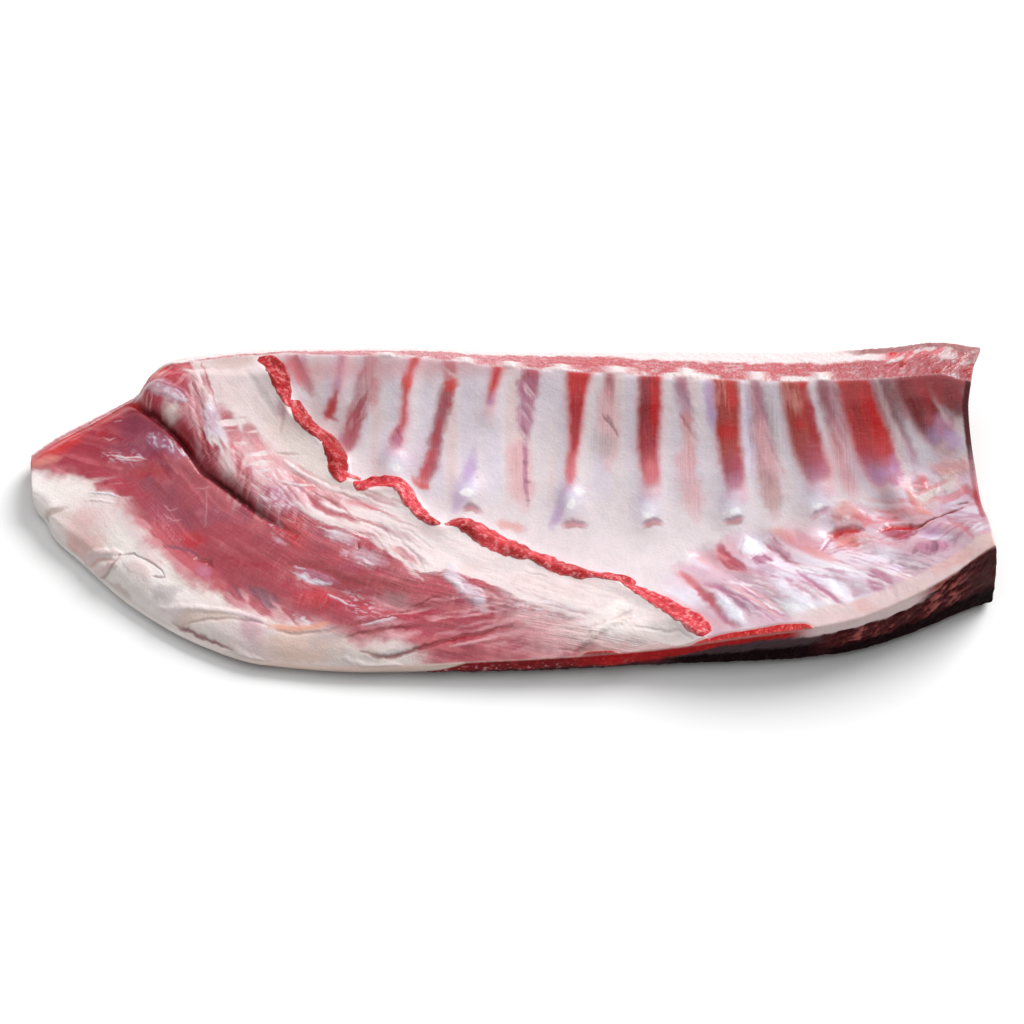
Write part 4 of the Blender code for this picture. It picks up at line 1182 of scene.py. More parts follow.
def paint_flank_fat(skin, where, gap, passed):
    """Cream fat below the muscle, under a grey veil along their common edge."""
    veil = where * skin.right_of(MUSCLE_EDGE, 5.0, 3.0, 9, 7, 37)
    skin.paint(PINK, veil * 0.5)
    skin.paint(GREY_FAT_SHADE_AND_SHEEN, veil * 0.35)
    fat = where * skin.right_of(lowered(MUSCLE_EDGE, 3.5), 4.4, 2.6, 6, 8, 35)
    skin.paint(CREAM, fat, grain=0.14, streak=0.25)
    skin.blotches(BLUSH, fat * 0.8, 20, 53, -0.3, 0.4)
    skin.paint(WHITE_FAT_AND_GLINT, fat * 0.7 * fade(noise(passed / 26, gap / 3, 55), 0.0, 0.6))
    # Whiter towards the flank end, partly painted light.
    skin.paint(PORCELAIN, fat * 0.75 * fade(-skin.x, 100, 150))
    return fat


def paint_deep_fold(skin, where):
    """Painted shade in the deepest fold: a dark red line, fainter in its middle and at its ends."""
    gap, _, share = passed_share(DEEP_FOLD, skin.wavy_x, skin.wavy_y)
    gap += 0.6 * skin.ragged
    ends = where * fade(share, 0.0, 0.12) * fade(1 - share, 0.04, 0.3)
    ends *= 1 - 0.55 * bump(share - 0.5, 0.07)
    skin.paint(CLARET, ends * 0.5 * bump(gap + 2.0, 2.4) * fade(share, 0, 0.5), streak=0.3)
    skin.paint(CLARET, ends * 0.85 * bump(gap, 1.8), rough=0.5, streak=0, weave=0)
    skin.paint(DARK_RED_AND_SHADE, ends * 0.85 * bump(gap + 0.2, 1.0), rough=0.7, streak=0, weave=0)
    skin.hatches(FOLD_HATCHES, where)


def paint_flank(skin, where):
    """Rose muscle with a white sheet along its upper side and cream fat along its lower one."""
    x, y = skin.x, skin.y
    gap, passed = along(FLANK_GRAIN, skin.wavy_x, skin.wavy_y)
    skin.paint(WHITE_FAT_AND_GLINT, where, rough=0.4, streak=0.27)
    skin.blotches(BLUSH, where * 0.6, 16, 43, -0.2, 0.5)
    muscle = where * skin.right_of(FASCIA_EDGE, 2.6, 7.0, 18, 2.0, 31)
    paint_muscle(skin, muscle, gap, passed)
    streaks = fade(noise(passed / 14, gap / 1.2, 61), -0.3, 0.4)
    skin.paint(ROSE, where * 0.75 * streaks * skin.spot(-66, -3, 26, 15, -30))
    fat = paint_flank_fat(skin, where, gap, passed)
    near_sheet = skin.right_of(FASCIA_EDGE, 1.0) * fade(22 - along(FASCIA_EDGE, x, y)[0], 0, 22)
    skin.streak += muscle * near_sheet * 0.8
    skin.weave += where * skin.spot(-124, 22, 26, 16, -45) * 0.8
    skin.marks(FAT_MARKS, where)
    skin.layers(FLANK_MARKS, FLANK_HATCHES, where)
    skin.sparkles(FLANK_SPARKLES, where, passed, gap)
    paint_deep_fold(skin, where)
    # Painted sheen along the roll.
    skin.paint(ICE, where * 0.45 * skin.stroke(ROLL_GLINT, 2.8), rough=0.2)
    skin.tints(FLANK_TINTS, where)
    # Painted light on the fat at the flank end.
    skin.shade(1 + 0.1 * fat * fade(-x, 170, 200))


def paint_sternum(skin, where):
    """Lilac cartilage under glossy streaks of membrane, with painted highlights and glints."""
    x, y = skin.x, skin.y
    plate = where * skin.right_of(STERNUM_PLATE, 4.0, 3.0)
    skin.paint(HEATHER, plate * 0.85, rough=0.32, streak=0.2)
    length, slant = slanted(x, y)
    # White streaks of membrane, partly painted sheen.
    skin.paint(ICE, plate * 0.75 * fade(noise(length / 26, slant / 7, 59), 0.0, 0.6))
    skin.paint(PALE_PINK, plate * 0.5 * fade(noise(length / 20, slant / 4.0, 57), 0.1, 0.7))
    skin.height += plate * 0.35 * cloud(x, y, 12, 63)
    skin.layers(STERNUM_MARKS, STERNUM_HATCHES, where)
    skin.tints(STERNUM_TINTS, where)
    skin.sparkles(STERNUM_SPARKLES, where, length, slant)
    # Painted shade over the middle of the cartilage.
    skin.shade(1 - 0.1 * where * skin.spot(100, -37, 19, 9))


def paint_edge_band(skin, where, body):
    """Cream fat along the sternum edge, from the front meat to the brisket end."""
    from_edge = body.girth + 0.8 * cloud(skin.x, skin.y, 6, 65)
    band = where * fade(skin.x, 108, 128) * fade(9.5 - from_edge, -1.5, 1.5)
    skin.paint(BLUSH, band * 0.9, streak=0.1, rough=0.4)
    skin.blotches(PEACH, band * 0.4, 9, 67, 0, 0.5)
    skin.blotches(SALMON, band * 0.35, 14, 69, 0, 0.5)


def paint_front_meat(skin, where):
    """Wet red meat that rolls over the sternum edge."""
    x, y = skin.x, skin.y
    inside = curve(FRONT_MEAT, skin.wavy_x) - y
    where = where * fade(x, -39, -35) * fade(127 - x, 0, 3)
    meat = where * fade(inside, -0.4, 0.5)
    grains = cloud(x, y, 1.8, 97, 2)
    skin.paint(BUFF, where * 0.7 * bump(inside + 0.6, 0.5))
    skin.paint(BLOOD, meat, rough=0.36, grain=0.6, streak=0)
    skin.paint(CLARET, meat * fade(50 - x, 0, 14) * 0.8)
    skin.paint(SCARLET, meat * 0.4 * fade(grains, 0.1, 0.5))
    skin.paint(SCARLET, meat * 0.3 * fade(x, 98, 112))
    skin.height += meat * (0.5 + 0.35 * grains + 0.8 * bump(x - 42, 8))


def paint_brisket_rim(skin, where, body):
    """Thin dark rim of dried meat where the top turns down at the brisket end."""
    y = skin.y
    inside = curve(BRISKET_OUTLINE, y + END_LEAN * body.points[..., 2]) - skin.x
    rim = where * fade(1.9 - inside + 0.5 * cloud(y, y, 6, 113), -0.5, 0.5) * fade(y, -26, -16)
    skin.paint(GARNET, rim * fade(y, 0, 24), rough=0.55, grain=0.4)
    skin.paint(CARMINE, rim * 0.8 * fade(-y, -18, 2), rough=0.4, grain=0.4)


def paint_sawn_end(skin, where, body, share):
    """Redder, lumpier meat at the brisket end of the sawn face; gives its relief."""
    where = where * fade(skin.x, 158, 166) * fade(0.8 - share, -0.05, 0.05)
    blobs = cloud(skin.x, 1.6 * body.girth, 9, 77)
    skin.paint(PINK, where, grain=0.3)
    skin.paint(BLUSH, where * fade(-blobs, 0.2, 0.4), grain=0.3)
    skin.paint(SCARLET, where * fade(blobs, 0.0, 0.2), grain=0.7)
    skin.paint(CARMINE, where * 0.8 * fade(blobs, 0.25, 0.45), grain=0.7)
    return 0.9 * where * blobs


def paint_sawn_face(skin, body):
    """Granular pink cut with white fat beyond it and a rim of skin at the brisket end."""
    where = body.part("sawn", 2)
    x = skin.x
    share = body.share("sawn") + 0.12 * cloud(x, skin.y * 2, 9, 71)
    grains = cloud(x, 1.3 * body.girth, 1.7, 73, 3)
    mottle = grains + 0.4 * cloud(x, 3 * body.girth, 12, 75)
    skin.paint(PINK, where, rough=0.4, grain=0.8, streak=0)
    skin.paint(SCARLET, where * 0.4 * fade(mottle, 0.1, 0.6))
    skin.paint(BLUSH, where * 0.6 * fade(-mottle, 0.1, 0.6), grain=0.4)
    skin.paint(PALE_PINK, where * 0.6 * fade(-x, -50, 60))
    limit = curve(WHITE_BAND, x)
    skin.paint(WHITE_FAT_AND_GLINT, where * fade(share, limit - 0.05, limit + 0.05), grain=0.1, rough=0.42)
    skin.paint(PINK, where * 0.75 * fade(-x, 156, 166) * fade(0.7 - share, -0.2, 0.2), grain=0.2)
    skin.paint(ROSE, where * 0.5 * fade(-x, 158, 168) * fade(0.5 - share, -0.2, 0.2))
    end_relief = paint_sawn_end(skin, where, body, share)
    # Painted shade over the meat of the sawn face, stronger towards the brisket; then the whole face
    # darker at the brisket corner.
    sawn_shade = 0.14 + 0.16 * fade(x, 110, 160)
    skin.shade(1 - where * sawn_shade * fade(limit - share, -0.05, 0.05))
    skin.shade(1 - 0.13 * where * fade(x, 162, 182))
    skin.paint(SKIN, where * fade(x, 140, 156) * fade(share, 0.72, 0.8), rough=0.5, grain=0.2)
    skin.paint(SKIN, where * fade(x, 190, 200) * fade(share, 0.4, 0.6), grain=0.2)
    skin.height += where * (0.4 * grains + end_relief)
    for lump_x, lump_wide in LIP_FAT:
        lump = where * fade(0.3 - share, 0, 0.1) * bump(x - lump_x, lump_wide)
        skin.paint(WHITE_FAT_AND_GLINT, lump, grain=0.05)
        skin.height += 0.8 * lump
    line = fade(0.1 - share, 0, 0.06) * fade(cloud(x, x, 12, 79), -0.2, 0.2) * fade(150 - x, 0, 20)
    skin.paint(WHITE_FAT_AND_GLINT, where * line)


def paint_underside(skin, body):
    """Thin fat over the outer muscle, which shows through in dusky patches."""
    where = body.part("under", 2)
    x, y = skin.x, skin.y
    skin.paint(CREAM, where, rough=0.46, grain=0.25, streak=0.2)
    skin.blotches(PALE_PINK, where * 0.7, 34, 81, -0.1, 0.5)
    skin.paint(ROSE, where * 0.6 * fade(cloud(x * 0.5, y, 22, 83), 0.15, 0.6), streak=0.8)
    skin.paint(SKIN, where * fade(x, 130, 180) * fade(y, 20, 60) * 0.8)


def paint_front_fat(skin, where, rise):
    """Fat of the front face, with a brown crease of painted shade near its foot, painted light towards
    the flank end and painted shade towards the foot; rise goes from 0 to 1 up it.
    """
    x = skin.x
    skin.paint(CREAM, where, grain=0.06, streak=0.2)
    skin.paint(PEACH, where * 0.7 * fade(x, -120, -90))
    # Brown crease: painted shade under the fold of the fat.
    crease = fade(x, -156, -146) * fade(-x, 98, 106) * fade(0.42 - rise, -0.05, 0.08)
    skin.paint(UMBER, where * crease)
    # Whiter towards the flank end: painted light.
    skin.paint(PORCELAIN, where * 0.8 * fade(-x, 105, 150))
    # Painted shade, darker towards the foot.
    depth = 0.1 + 0.15 * fade(x, -175, -140) + 0.4 * fade(x, -120, -60)
    skin.shade(1 - where * depth * fade(0.5 - rise, -0.3, 0.3))


def paint_front_red(skin, where, rise, turned):
    """Wet red meat of the front face, with painted shade along its foot; turned is the place around
    the cut.
    """
    x = skin.x
    grains = cloud(x, turned, 1.8, 97, 2)
    where = where * fade(curve(FRONT_MEAT_START, x) - rise, -0.06, 0.06)
    where *= fade(x + 5 * skin.ragged, -45, -38)
    skin.paint(CLARET, where, rough=0.7, grain=0.5)
    skin.paint(BLOOD, where * fade(x, 20, 40) * fade(rise, 0.4, 0.6) * 0.7)
    skin.paint(SCARLET, where * 0.35 * fade(grains, 0.2, 0.6) * fade(rise, 0.35, 0.6))
    # Painted shade along the foot.
    skin.paint(DARK_RED_AND_SHADE, where * fade(0.4 - rise, -0.15, 0.15))
    # Pale dots are painted wet highlights.
    wet = fade(noise(x / 1.2, turned / 1.0, 117), 0.45, 0.8) * bump(rise - 0.55, 0.25)
    skin.paint(PALE_PINK, where * 0.6 * wet * fade(60 - x, 0, 30))
    lump = bump(x - 42, 8) * bump(rise - 0.6, 0.3)
    skin.height += where * (0.5 * cloud(x, turned, 6, 95) + 0.3 * grains + lump)


def paint_front_dark(skin, where, rise, turned):
    """Dark front face: painted shade below the red meat, near black at its foot, and dark dried spongy
    meat under the brisket.
    """
    x = skin.x
    under = where * fade(x, 58, 72)
    # Painted shade below the red meat, near black at its foot.
    top_of_shade = 0.66 + 0.2 * fade(x, 70, 90)
    skin.paint(DUSKY, under * fade(top_of_shade - rise, -0.04, 0.05), grain=0.1, rough=0.6)
    skin.paint(SHADOW_BLACK, under * fade(0.55 - rise, -0.08, 0.08), grain=0.2, rough=0.82)
    spongy = where * fade(x, 122, 136)
    crumbly = spongy * fade(x, 134, 146) * fade(-x, -196, -182)
    holes = cloud(x, turned * 1.4, 3.6, 93, 3)
    skin.paint(GARNET, spongy, grain=0.9, rough=0.72)
    skin.paint(CRUMB, crumbly * 0.9 * fade(holes, 0.05, 0.4) * fade(rise, 0.3, 0.55))
    skin.paint(DARK_RED_AND_SHADE, spongy * 0.8 * fade(-holes, 0.05, 0.4))
    skin.paint(DARK_RED_AND_SHADE, spongy * fade(x, 184, 196) * 0.6, grain=0.4)
    # Painted shadow along the foot of the spongy meat.
    skin.paint(SHADOW_BLACK, spongy * fade(0.36 - rise, -0.12, 0.12), grain=0.4, rough=0.82)
    skin.height += spongy * 1.5 * holes * fade(rise, 0.1, 0.4) * fade(200 - x, 0, 14)


def paint_front_face(skin, body):
    """Fat at the flank, red meat in the middle, and dark spongy meat under the brisket, all with
    painted shade towards the foot of the face.
    """
    where = body.part("face", 2)
    x = skin.x
    rise = body.share("face") + 0.05 * cloud(x, skin.y, 8, 91)
    rolled = fade(x, 114, 130) * fade(178 - x, 0, 14) * fade(rise, 0.76, 0.83)
    paint_front_fat(skin, where, rise)
    paint_front_red(skin, where * (1 - rolled), rise, body.girth)
    paint_front_dark(skin, where * (1 - rolled), rise, body.girth)
    skin.paint(BLUSH, where * rolled, rough=0.45, grain=0.15)


def set_fibres(skin, body, flank_side):
    """Places along and across the fibres, which run down the ribs and along the flank."""
    x, y = skin.x, skin.y
    on_sternum = skin.right_of(STERNUM_PLATE, 1.0) > 0.5
    on_flank = flank_side > 0.5
    off_top = body.part("top", 0) < 0.5
    gap, passed = along(FLANK_GRAIN, x, y)
    places = (y, x)
    for here, instead in (
        (on_sternum, slanted(x, y)), (on_flank, (passed, gap)), (off_top, (x, body.girth)),
    ):
        places = np.where(here, instead, places)
    skin.fibre = np.moveaxis(places, 0, -1)


def paint_body(body):
    """Paints the zones one over the other, the rims and rolled edges last."""
    skin = Skin(body.x, body.y, WHITE_FAT_AND_GLINT)
    flank_side = skin.right_of(DIAPHRAGM, 1.0)
    top = body.part("top", 1)
    ribs_side = top * (1 - flank_side)
    paint_underside(skin, body)
    paint_sawn_face(skin, body)
    paint_rib_wall(skin, ribs_side)
    paint_sternum(skin, ribs_side)
    paint_edge_band(skin, top, body)
    paint_flank(skin, top * flank_side)
    paint_front_meat(skin, top)
    paint_front_face(skin, body)
    paint_brisket_rim(skin, top, body)
    set_fibres(skin, body, flank_side)
    return skin


# ---------------------------------------------------------------- meshes
def closed_grid_faces(rows, around):
    """Quads between closed rings, each ring holding as many points."""
    here = np.arange(rows - 1)[:, None] * around + np.arange(around)
    beside = np.arange(rows - 1)[:, None] * around + (np.arange(around) + 1) % around
    return np.stack((here, here + around, beside + around, beside), axis=-1).reshape(-1, 4)


def open_grid_faces(rows, columns):
    """Quads of an open sheet."""
    here = np.arange(rows - 1)[:, None] * columns + np.arange(columns - 1)
    return np.stack((here, here + 1, here + columns + 1, here + columns), axis=-1).reshape(-1, 4)


def end_rings(ring, sign):
    """Rings that close an end: each moves further onto the middle line of the end section."""
    low = ring.min(axis=0)
    high = ring.max(axis=0)
    inset = 0.3 * (high[2] - low[2])
    spine = ring.copy()
    spine[:, 1] = np.clip(ring[:, 1], low[1] + inset, high[1] - inset)
    above = np.interp(spine[:, 1], [low[1], high[1]], [0.28, 0.44])
    spine[:, 2] = low[2] + (high[2] - low[2]) * above
    station = np.full(len(ring), FLANK_END if sign < 0 else BRISKET_END)
    spine[:, 0] = to_outline(station, spine[:, 1], spine[:, 2])
    shares = np.array(CAP_SHARES)[:, None, None]
    rings = ring + (spine - ring) * shares
    rings[..., 0] += sign * CAP_BULGE * (1 - np.exp(-shares[..., 0] / 0.03))
    return rings


def make_mesh(name, points, faces, shift):
    """Smooth mesh in metres from plan points of any array shape."""
    mesh = bpy.data.meshes.new(name)
    mesh.from_pydata((points.reshape(-1, 3) + shift) * MM, [], faces)
    mesh.shade_smooth()
    return mesh


def add_paint(mesh, colour, finish, fibre):
    """Stores the paint where the material reads it; finish is rough, grain, streak and weave."""
    solid = np.ones(colour.shape[:-1] + (1,))
    flat = np.zeros(fibre.shape[:-1] + (1,))
    for name, kind, field, values in (
        ("colour", "FLOAT_COLOR", "color", np.concatenate((colour, solid), axis=-1)),
        ("finish", "FLOAT_COLOR", "color", finish),
        ("fibre", "FLOAT_VECTOR", "vector", np.concatenate((fibre, flat), axis=-1)),
    ):
        values = np.ascontiguousarray(values, np.float32).ravel()
        mesh.attributes.new(name, kind, "POINT").data.foreach_set(field, values)


def finish_of(skin):
    return np.stack((skin.rough, skin.grain, skin.streak, skin.weave), axis=-1)


# ---------------------------------------------------------------- materials
class Shader:
    """Short names for building a node material."""

    def __init__(self, name):
        self.material = bpy.data.materials.new(name)
        self.material.use_nodes = True
        self.nodes = self.material.node_tree.nodes
        self.links = self.material.node_tree.links
        self.surface = self.nodes["Principled BSDF"]

    def node(self, kind, **settings):
        made = self.nodes.new(kind)
        for key, value in settings.items():
            setattr(made, key, value)
        return made

    def put(self, value, socket):
        if isinstance(value, bpy.types.NodeSocket):
            self.links.new(value, socket)
        else:
            socket.default_value = value

    def surface_values(self, values):
        """Sets or links sockets of the surface, by name."""
        for name, value in values.items():
            self.put(value, self.surface.inputs[name])

    def attribute(self, name, output):
        return self.node("ShaderNodeAttribute", attribute_name=name).outputs[output]

    def math(self, operation, a, b=0.0, c=0.0, clamp=False):
        made = self.node("ShaderNodeMath", operation=operation, use_clamp=clamp)
        for value, socket in zip((a, b, c), made.inputs):
            self.put(value, socket)
        return made.outputs[0]

    def times(self, a, b):
        return self.math("MULTIPLY", a, b)

    def plus(self, total, value, factor):
        """The total with a value added, times a factor."""
        return self.math("MULTIPLY_ADD", value, factor, total)

    def stretched(self, vector, scale):
        made = self.node("ShaderNodeVectorMath", operation="MULTIPLY")
        self.put(vector, made.inputs[0])
        made.inputs[1].default_value = scale
        return made.outputs[0]

    def noise(self, vector, scale, detail=2.0, roughness=0.55, distortion=0.0):
        """Noise from -0.5 to 0.5."""
        made = self.node("ShaderNodeTexNoise")
        values = (vector, scale, detail, roughness, distortion)
        for name, value in zip(("Vector", "Scale", "Detail", "Roughness", "Distortion"), values):
            self.put(value, made.inputs[name])
        return self.math("SUBTRACT", made.outputs["Fac"], 0.5)

    def cells(self, vector, scale):
        made = self.node("ShaderNodeTexVoronoi", feature="F1")
        self.put(vector, made.inputs["Vector"])
        made.inputs["Scale"].default_value = scale
        return made.outputs["Distance"]

    def ramp(self, value, low, high):
        made = self.node("ShaderNodeMapRange", interpolation_type="SMOOTHSTEP")
        self.put(value, made.inputs["Value"])
        made.inputs["From Min"].default_value = low
        made.inputs["From Max"].default_value = high
        return made.outputs["Result"]

    def mix(self, factor, a, b):
        made = self.node("ShaderNodeMix", data_type="RGBA")
        self.put(factor, made.inputs[0])
        self.put(a, made.inputs[6])
        self.put(b, made.inputs[7])
        return made.outputs[2]

    def scaled(self, colour, factor):
        made = self.node("ShaderNodeVectorMath", operation="SCALE")
        self.put(colour, made.inputs[0])
        self.put(factor, made.inputs["Scale"])
        return made.outputs[0]

    def bumps(self, height, strength, distance):
        made = self.node("ShaderNodeBump")
        self.put(height, made.inputs["Height"])
        made.inputs["Strength"].default_value = strength
        made.inputs["Distance"].default_value = distance
        return made.outputs["Normal"]


def meat_material():
    """Wet meat: painted colour broken up by fibres and grains, with glossy uneven moisture."""
    s = Shader("lamb_meat")
    finish = s.node("ShaderNodeAttribute", attribute_name="finish")
    parts = s.node("ShaderNodeSeparateColor")
    s.put(finish.outputs["Color"], parts.inputs[0])
    rough, grain, streak = parts.outputs
    weave_share = s.times(finish.outputs["Alpha"], 0.5)

    fibre = s.attribute("fibre", "Vector")
    bundles = s.noise(s.stretched(fibre, (0.055, 0.75, 1)), 1.0, 4.0, 0.6, 0.4)
    threads = s.noise(s.stretched(fibre, (0.12, 1.5, 1)), 1.0, 3.0, 0.65)
    weave = s.noise(s.stretched(fibre, (1.1, 0.14, 1)), 1.0, 3.0, 0.6, 1.2)
    lines = s.plus(s.times(bundles, 0.9), threads, 0.55)
    place = s.stretched(s.node("ShaderNodeTexCoord").outputs["Object"], (1 / MM,) * 3)
    grains = s.cells(place, 0.85)
    crumbs = s.noise(place, 1.1, 3.0, 0.65)
    clouds = s.noise(place, 0.16, 4.0, 0.6)
    most_grain = s.times(grain, 0.9)

    shade = s.plus(s.times(lines, streak), crumbs, most_grain)
    shade = s.plus(shade, s.math("SUBTRACT", 0.45, grains), s.times(grain, 0.35))
    shade = s.plus(shade, clouds, 0.22)
    colour = s.scaled(s.attribute("colour", "Color"), s.math("ADD", shade, 1.0))
    pale = s.times(s.ramp(threads, 0.08, 0.3), s.times(streak, 0.36))
    crossing = s.times(s.ramp(weave, 0.04, 0.2), s.plus(weave_share, streak, 0.14))
    for share in (pale, crossing):
        colour = s.mix(share, colour, (*linear(PALE_PINK), 1))

    height = s.plus(s.times(lines, s.times(streak, 0.45)), crumbs, most_grain)
    height = s.plus(height, clouds, 0.5)
    height = s.plus(height, grains, s.times(grain, -0.5))

    wet = s.plus(rough, s.noise(place, 0.35, 3.0), 0.35)
    gloss = s.math("SUBTRACT", 0.85, rough, clamp=True)
    s.surface_values({
        "Base Color": colour,
        "Normal": s.bumps(height, 0.7, 0.001),
        "Roughness": s.math("MAXIMUM", wet, 0.12),
        "Specular IOR Level": gloss,
        "Coat Weight": s.times(gloss, 0.4),
        "Coat Roughness": 0.14,
        "IOR": 1.4,
        "Subsurface Weight": 0.12,
        "Subsurface Radius": (1.0, 0.4, 0.25),
        "Subsurface Scale": 0.003,
    })
    return s.material


# ---------------------------------------------------------------- the body
def end_paint(skin, ring, sign, rings):
    """Skin of an end: its rim follows the side, and its middle is cut meat and fat."""
    y = rings[..., 1]
    z = rings[..., 2]
    end = Skin(y, z * 2.5, BLUSH if sign < 0 else GARNET)
    end.grain[:] = 0.8
    end.rough[:] = 0.55
    end.paint(CREAM, fade(cloud(y, 3 * z, 20, 101), 0.0, 0.4) * (0.9 if sign < 0 else 0.1))
    end.paint(CLARET, fade(cloud(y, 3 * z, 16, 103), 0.0, 0.4) * (0.2 if sign < 0 else 0.5))
    end.paint(ROSE, fade(y, 18, 30) * (0.8 if sign < 0 else 0.1))
    rim = 1 - fade(np.array(CAP_SHARES)[:, None], 0.01, 0.12)
    finish = finish_of(end)
    finish += (finish_of(skin)[ring] - finish) * rim[..., None]
    colour = end.colour + (skin.colour[ring] - end.colour) * rim[..., None]
    return colour, finish, np.stack((y, 3 * z), axis=-1)


def whole_surface():
    """Points, colour, finish and fibre of the body as closed rings, its two ends included."""
    body = Body()
    skin = paint_body(body)
    grid = body.points + body.normals * skin.height[..., None]
    layers = [[grid, skin.colour, finish_of(skin), skin.fibre]]
    for ring, sign in ((0, -1), (-1, 1)):
        rings = end_rings(grid[ring], sign)
        end = [rings, *end_paint(skin, ring, sign, rings)]
        if sign < 0:
            layers.insert(0, [layer[::-1] for layer in end])
        else:
            layers.append(end)
    points, colour, finish, fibre = [np.concatenate(layer) for layer in zip(*layers)]
    points[..., 2] = np.maximum(points[..., 2], 0)
    return points, colour, finish, fibre


def build_body(material):
    """The surface that stands for the whole solid, in slices; gives them and the plan's shift."""
    points, colour, finish, fibre = whole_surface()
    normals = normals_of(points)
    low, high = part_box(NODE)
    shift = np.zeros(3)
    for k in range(2):
        shift[k] = (low[k] + high[k]) / 2 / MM - (points[..., k].min() + points[..., k].max()) / 2
    cuts = np.linspace(0, len(points) - 1, SLICES + 1).astype(int)
    pieces = []
    for number, (first, last) in enumerate(zip(cuts[:-1], cuts[1:]), 1):
        rows = slice(first, last + 1)
        name = f"breast_surface_{number}"
        faces = closed_grid_faces(last + 1 - first, points.shape[1])
        mesh = make_mesh(name, points[rows], faces, shift)
        mesh.normals_split_custom_set_from_vertices(normals[rows].reshape(-1, 3))
        add_paint(mesh, colour[rows], finish[rows], fibre[rows])
        pieces.append(add_piece(name, mesh, material))
    return pieces, shift


def add_piece(name, mesh, material):
    piece = bpy.data.objects.new(name, mesh)
    bpy.context.scene.collection.objects.link(piece)
    mesh.materials.append(material)
    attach(piece, "root")
    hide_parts(NODE)
    return piece


# ---------------------------------------------------------------- strips on the body
STRIPS = (  # granular diaphragm meat: (x, y, half-width, redness) along each piece
    ((-111, 65, 1.0, 0.7), (-106, 63, 3.4, 0.9), (-102, 58, 4.6, 0.9), (-100, 52, 3.8, 0.8),
     (-98, 46, 2.2, 0.5), (-96, 42, 0.8, 0.3)),
    ((-94, 48, 1.6, 0.6), (-93, 43, 3.3, 0.7), (-89, 37, 3.9, 0.8), (-84, 33, 3.5, 0.8),
     (-79, 30, 3.9, 1.0), (-76, 24, 4.3, 1.2), (-75, 18, 4.0, 1.0), (-74, 13, 3.2, 0.4),
     (-72, 9, 1.4, 0.3)),
    ((-74, 15, 0.8, 0.4), (-70, 15, 1.4, 0.3), (-65, 14, 0.8, 0.2)),
    ((-68, 7, 1.8, 0.0), (-64, 9, 3.6, 0.1), (-58, 12, 3.8, 0.6), (-51, 11, 3.9, 0.3),
     (-46, 8, 3.9, 0.2), (-43, 2, 3.6, 0.2), (-39, -3, 3.4, 0.3), (-34, -8, 2.8, 0.5),
     (-30, -10, 1.0, 0.6)),
    ((-29, -9, 1.2, 0.2), (-23, -8, 3.9, 0.3), (-17, -10, 5.0, 0.6), (-10, -15, 5.6, 0.4),
     (-3, -19, 5.6, 0.6), (4, -22, 5.0, 0.5), (9, -24, 3.9, 0.4), (15, -27, 4.9, 0.5),
     (22, -31, 5.1, 0.7), (30, -34, 4.3, 0.5), (36, -35, 3.1, 0.3), (42, -36, 4.3, 0.5),
     (48, -37, 3.7, 0.7), (54, -39, 1.2, 0.3)),
    ((46, -39, 1.2, 0.4), (51, -42.5, 3.4, 0.5), (57, -46.5, 4.6, 0.2), (64, -52, 5.0, 0.2),
     (71, -58, 5.0, 0.3), (76, -62, 4.8, 0.3), (80, -66.5, 3.8, 0.1), (81.5, -68.5, 2.4, 0.1)),
)
STRIP_THICKNESS = 2.1
STRIP_SUNK = 0.4
STRIP_STEP = 0.4  # length of its quads
STRIP_COLUMNS = 25
STRIP_RED = (172, 5, 8)
STRIP_PINK = (214, 58, 68)
STRIP_PALE = (246, 164, 166)
STRIP_DARK = (128, 6, 12)


def height_finder(pieces, shift):
    """Function that gives the height of the body under arrays of plan x and y."""
    scene_state = bpy.context.evaluated_depsgraph_get()
    trees = [BVHTree.FromObject(piece, scene_state) for piece in pieces]

    def height_at(x, y):
        above = Vector(((x + shift[0]) * MM, (y + shift[1]) * MM, 0.2))
        hits = [tree.ray_cast(above, Vector((0, 0, -1)))[0] for tree in trees]
        return max((hit.z / MM for hit in hits if hit), default=0.0)

    return np.vectorize(height_at)


def strip_plan(path):
    """Plan of a ribbon with ragged sides: x, y, redness, and -1 to 1 across it and along it."""
    path = np.array(path, float)
    places = places_along(path)
    at = np.linspace(0, places[-1], int(places[-1] / STRIP_STEP) + 2)
    lengthways = np.linspace(-1, 1, len(at))[:, None]
    x, y, half, red = [curve(np.stack((places, k), axis=1), at)[:, None] for k in path.T]
    heading_x = np.gradient(x, axis=0)
    heading_y = np.gradient(y, axis=0)
    sideways = np.linspace(-1, 1, STRIP_COLUMNS)[None]
    ragged = 1.15 + 0.16 * noise(at[:, None] / 2.0, 3.3 * np.sign(sideways), 107)
    reach = sideways * half * ragged / np.hypot(heading_x, heading_y)
    return x - heading_y * reach, y + heading_x * reach, red, sideways, lengthways


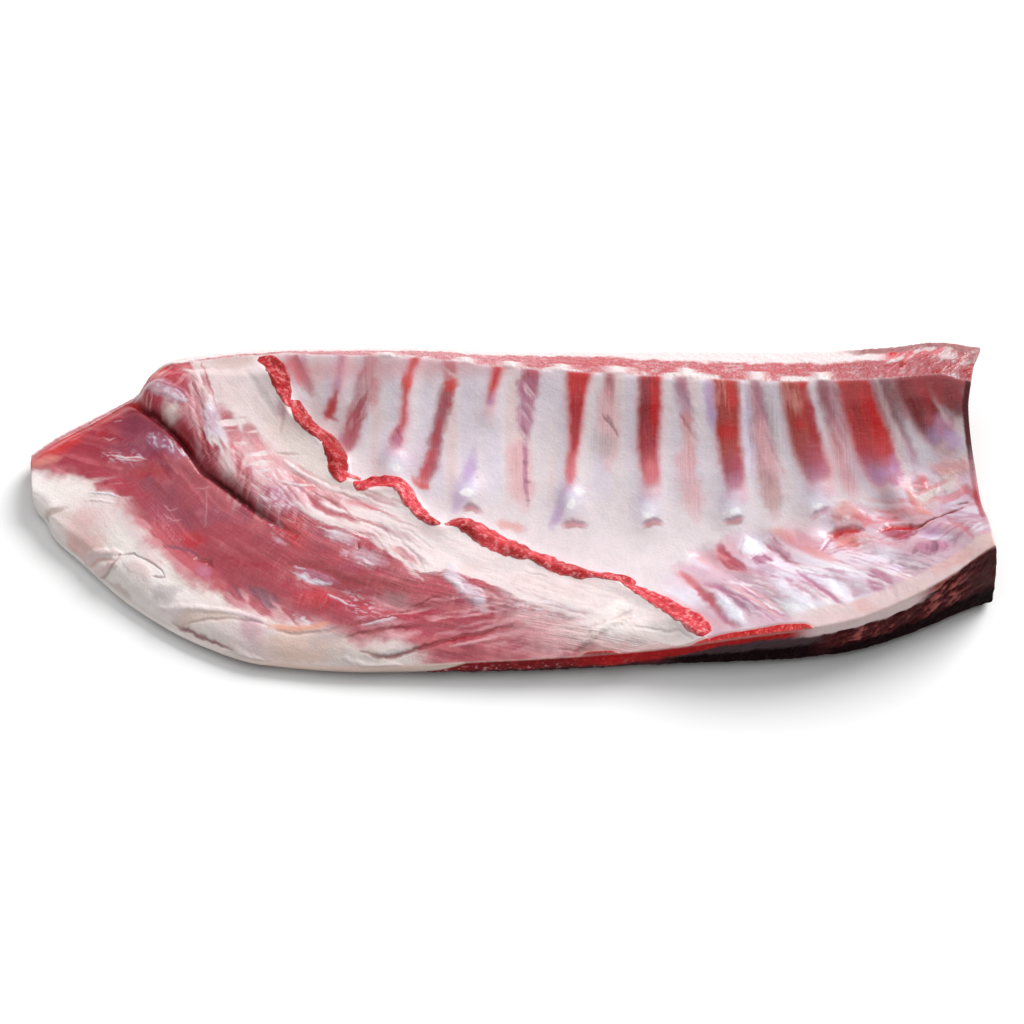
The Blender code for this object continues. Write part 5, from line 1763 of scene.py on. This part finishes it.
def strip_piece(name, path, height, shift, material):
    """A granular ribbon of meat that lies on the body."""
    x, y, red, sideways, lengthways = strip_plan(path)
    crumbs = cloud(x, y, 1.6, 109, 2)
    lumps = cloud(x, y, 6.0, 111, 2)
    dots = noise(x / 0.7, y / 0.7, 115)
    dome = np.clip(1 - sideways**4, 0, 1) ** 0.6
    dome = dome * np.sqrt(np.clip(1 - np.abs(lengthways) ** 12, 0, 1))
    z = height(x, y) + dome * (STRIP_THICKNESS * (0.5 + 0.22 * lumps) + 0.3 * crumbs) - STRIP_SUNK
    skin = Skin(x, y, STRIP_PINK)
    skin.paint(STRIP_RED, fade(red + 0.5 * lumps, 0.2, 0.9))
    # Painted highlights on the tops of the crumbs.
    skin.paint(STRIP_PALE, 0.8 * fade(crumbs + 0.5 * dots, 0.15, 0.6) * (1 - 0.7 * red))
    # Painted shade between the crumbs.
    skin.paint(STRIP_DARK, 0.45 * fade(-crumbs, 0.15, 0.5))
    skin.paint(STRIP_PALE, 0.6 * fade(np.abs(sideways), 0.74, 0.96) * (1 - 0.6 * red))
    skin.grain[:] = 0.5
    skin.rough[:] = 0.55
    mesh = make_mesh(name, np.stack((x, y, z), axis=-1), open_grid_faces(*x.shape), shift)
    add_paint(mesh, skin.colour, finish_of(skin), skin.fibre)
    return add_piece(name, mesh, material)


# ---------------------------------------------------------------- floor, light and camera
FLOOR_HALF = 6.0  # metres
CAMERA_TILT = 55  # degrees above the table
CAMERA_DISTANCE = 1.24
CAMERA_AIM = (0.003, 0.0083)  # metres from the middle of the cut


def floor():
    """White table far wider than the view."""
    mesh = bpy.data.meshes.new("floor")
    corners = [(x * FLOOR_HALF, y * FLOOR_HALF, 0) for x, y in ((-1, -1), (1, -1), (1, 1), (-1, 1))]
    mesh.from_pydata(corners, [], [(0, 1, 2, 3)])
    s = Shader("white_floor")
    s.surface_values({
        "Base Color": (0.785, 0.785, 0.785, 1),
        "Roughness": 0.9,
        "Specular IOR Level": 0.1,
    })
    mesh.materials.append(s.material)
    piece = bpy.data.objects.new("floor", mesh)
    bpy.context.scene.collection.objects.link(piece)


def far_light(name, place, wide, strength):
    """Very large distant lamp that lights the floor evenly; wide is its angle in degrees."""
    data = bpy.data.lights.new(name, "SUN")
    data.angle = np.radians(wide)
    data.energy = strength
    lamp = bpy.data.objects.new(name, data)
    lamp.location = place
    lamp.rotation_euler = (-Vector(place)).to_track_quat("-Z", "Y").to_euler()
    bpy.context.scene.collection.objects.link(lamp)


def lights():
    world = bpy.data.worlds.new("studio")
    bpy.context.scene.world = world
    world.use_nodes = True
    background = world.node_tree.nodes["Background"]
    background.inputs["Color"].default_value = (1, 1, 1, 1)
    background.inputs["Strength"].default_value = 0.26
    far_light("key_light", (1.65, 1.65, 1.85), 36, 3.9)
    far_light("fill_light", (-0.3, -0.15, 2.6), 66, 1.2)
    bpy.context.scene.view_settings.view_transform = "Standard"


def camera():
    low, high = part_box(NODE)
    aim = Vector([(low[k] + high[k]) / 2 + CAMERA_AIM[k] for k in range(2)] + [0.0])
    tilt = np.radians(CAMERA_TILT)
    data = bpy.data.cameras.new("camera")
    data.lens = 100
    data.sensor_width = 36
    eye = bpy.data.objects.new("camera", data)
    eye.location = aim + CAMERA_DISTANCE * Vector((0, -np.cos(tilt), np.sin(tilt)))
    eye.rotation_euler = (np.pi / 2 - tilt, 0, 0)
    bpy.context.scene.collection.objects.link(eye)
    bpy.context.scene.camera = eye


def main():
    material = meat_material()
    pieces, shift = build_body(material)
    height = height_finder(pieces, shift)
    for number, path in enumerate(STRIPS, 1):
        strip_piece(f"diaphragm_strip_{number}", path, height, shift, material)
    floor()
    lights()
    camera()


main()
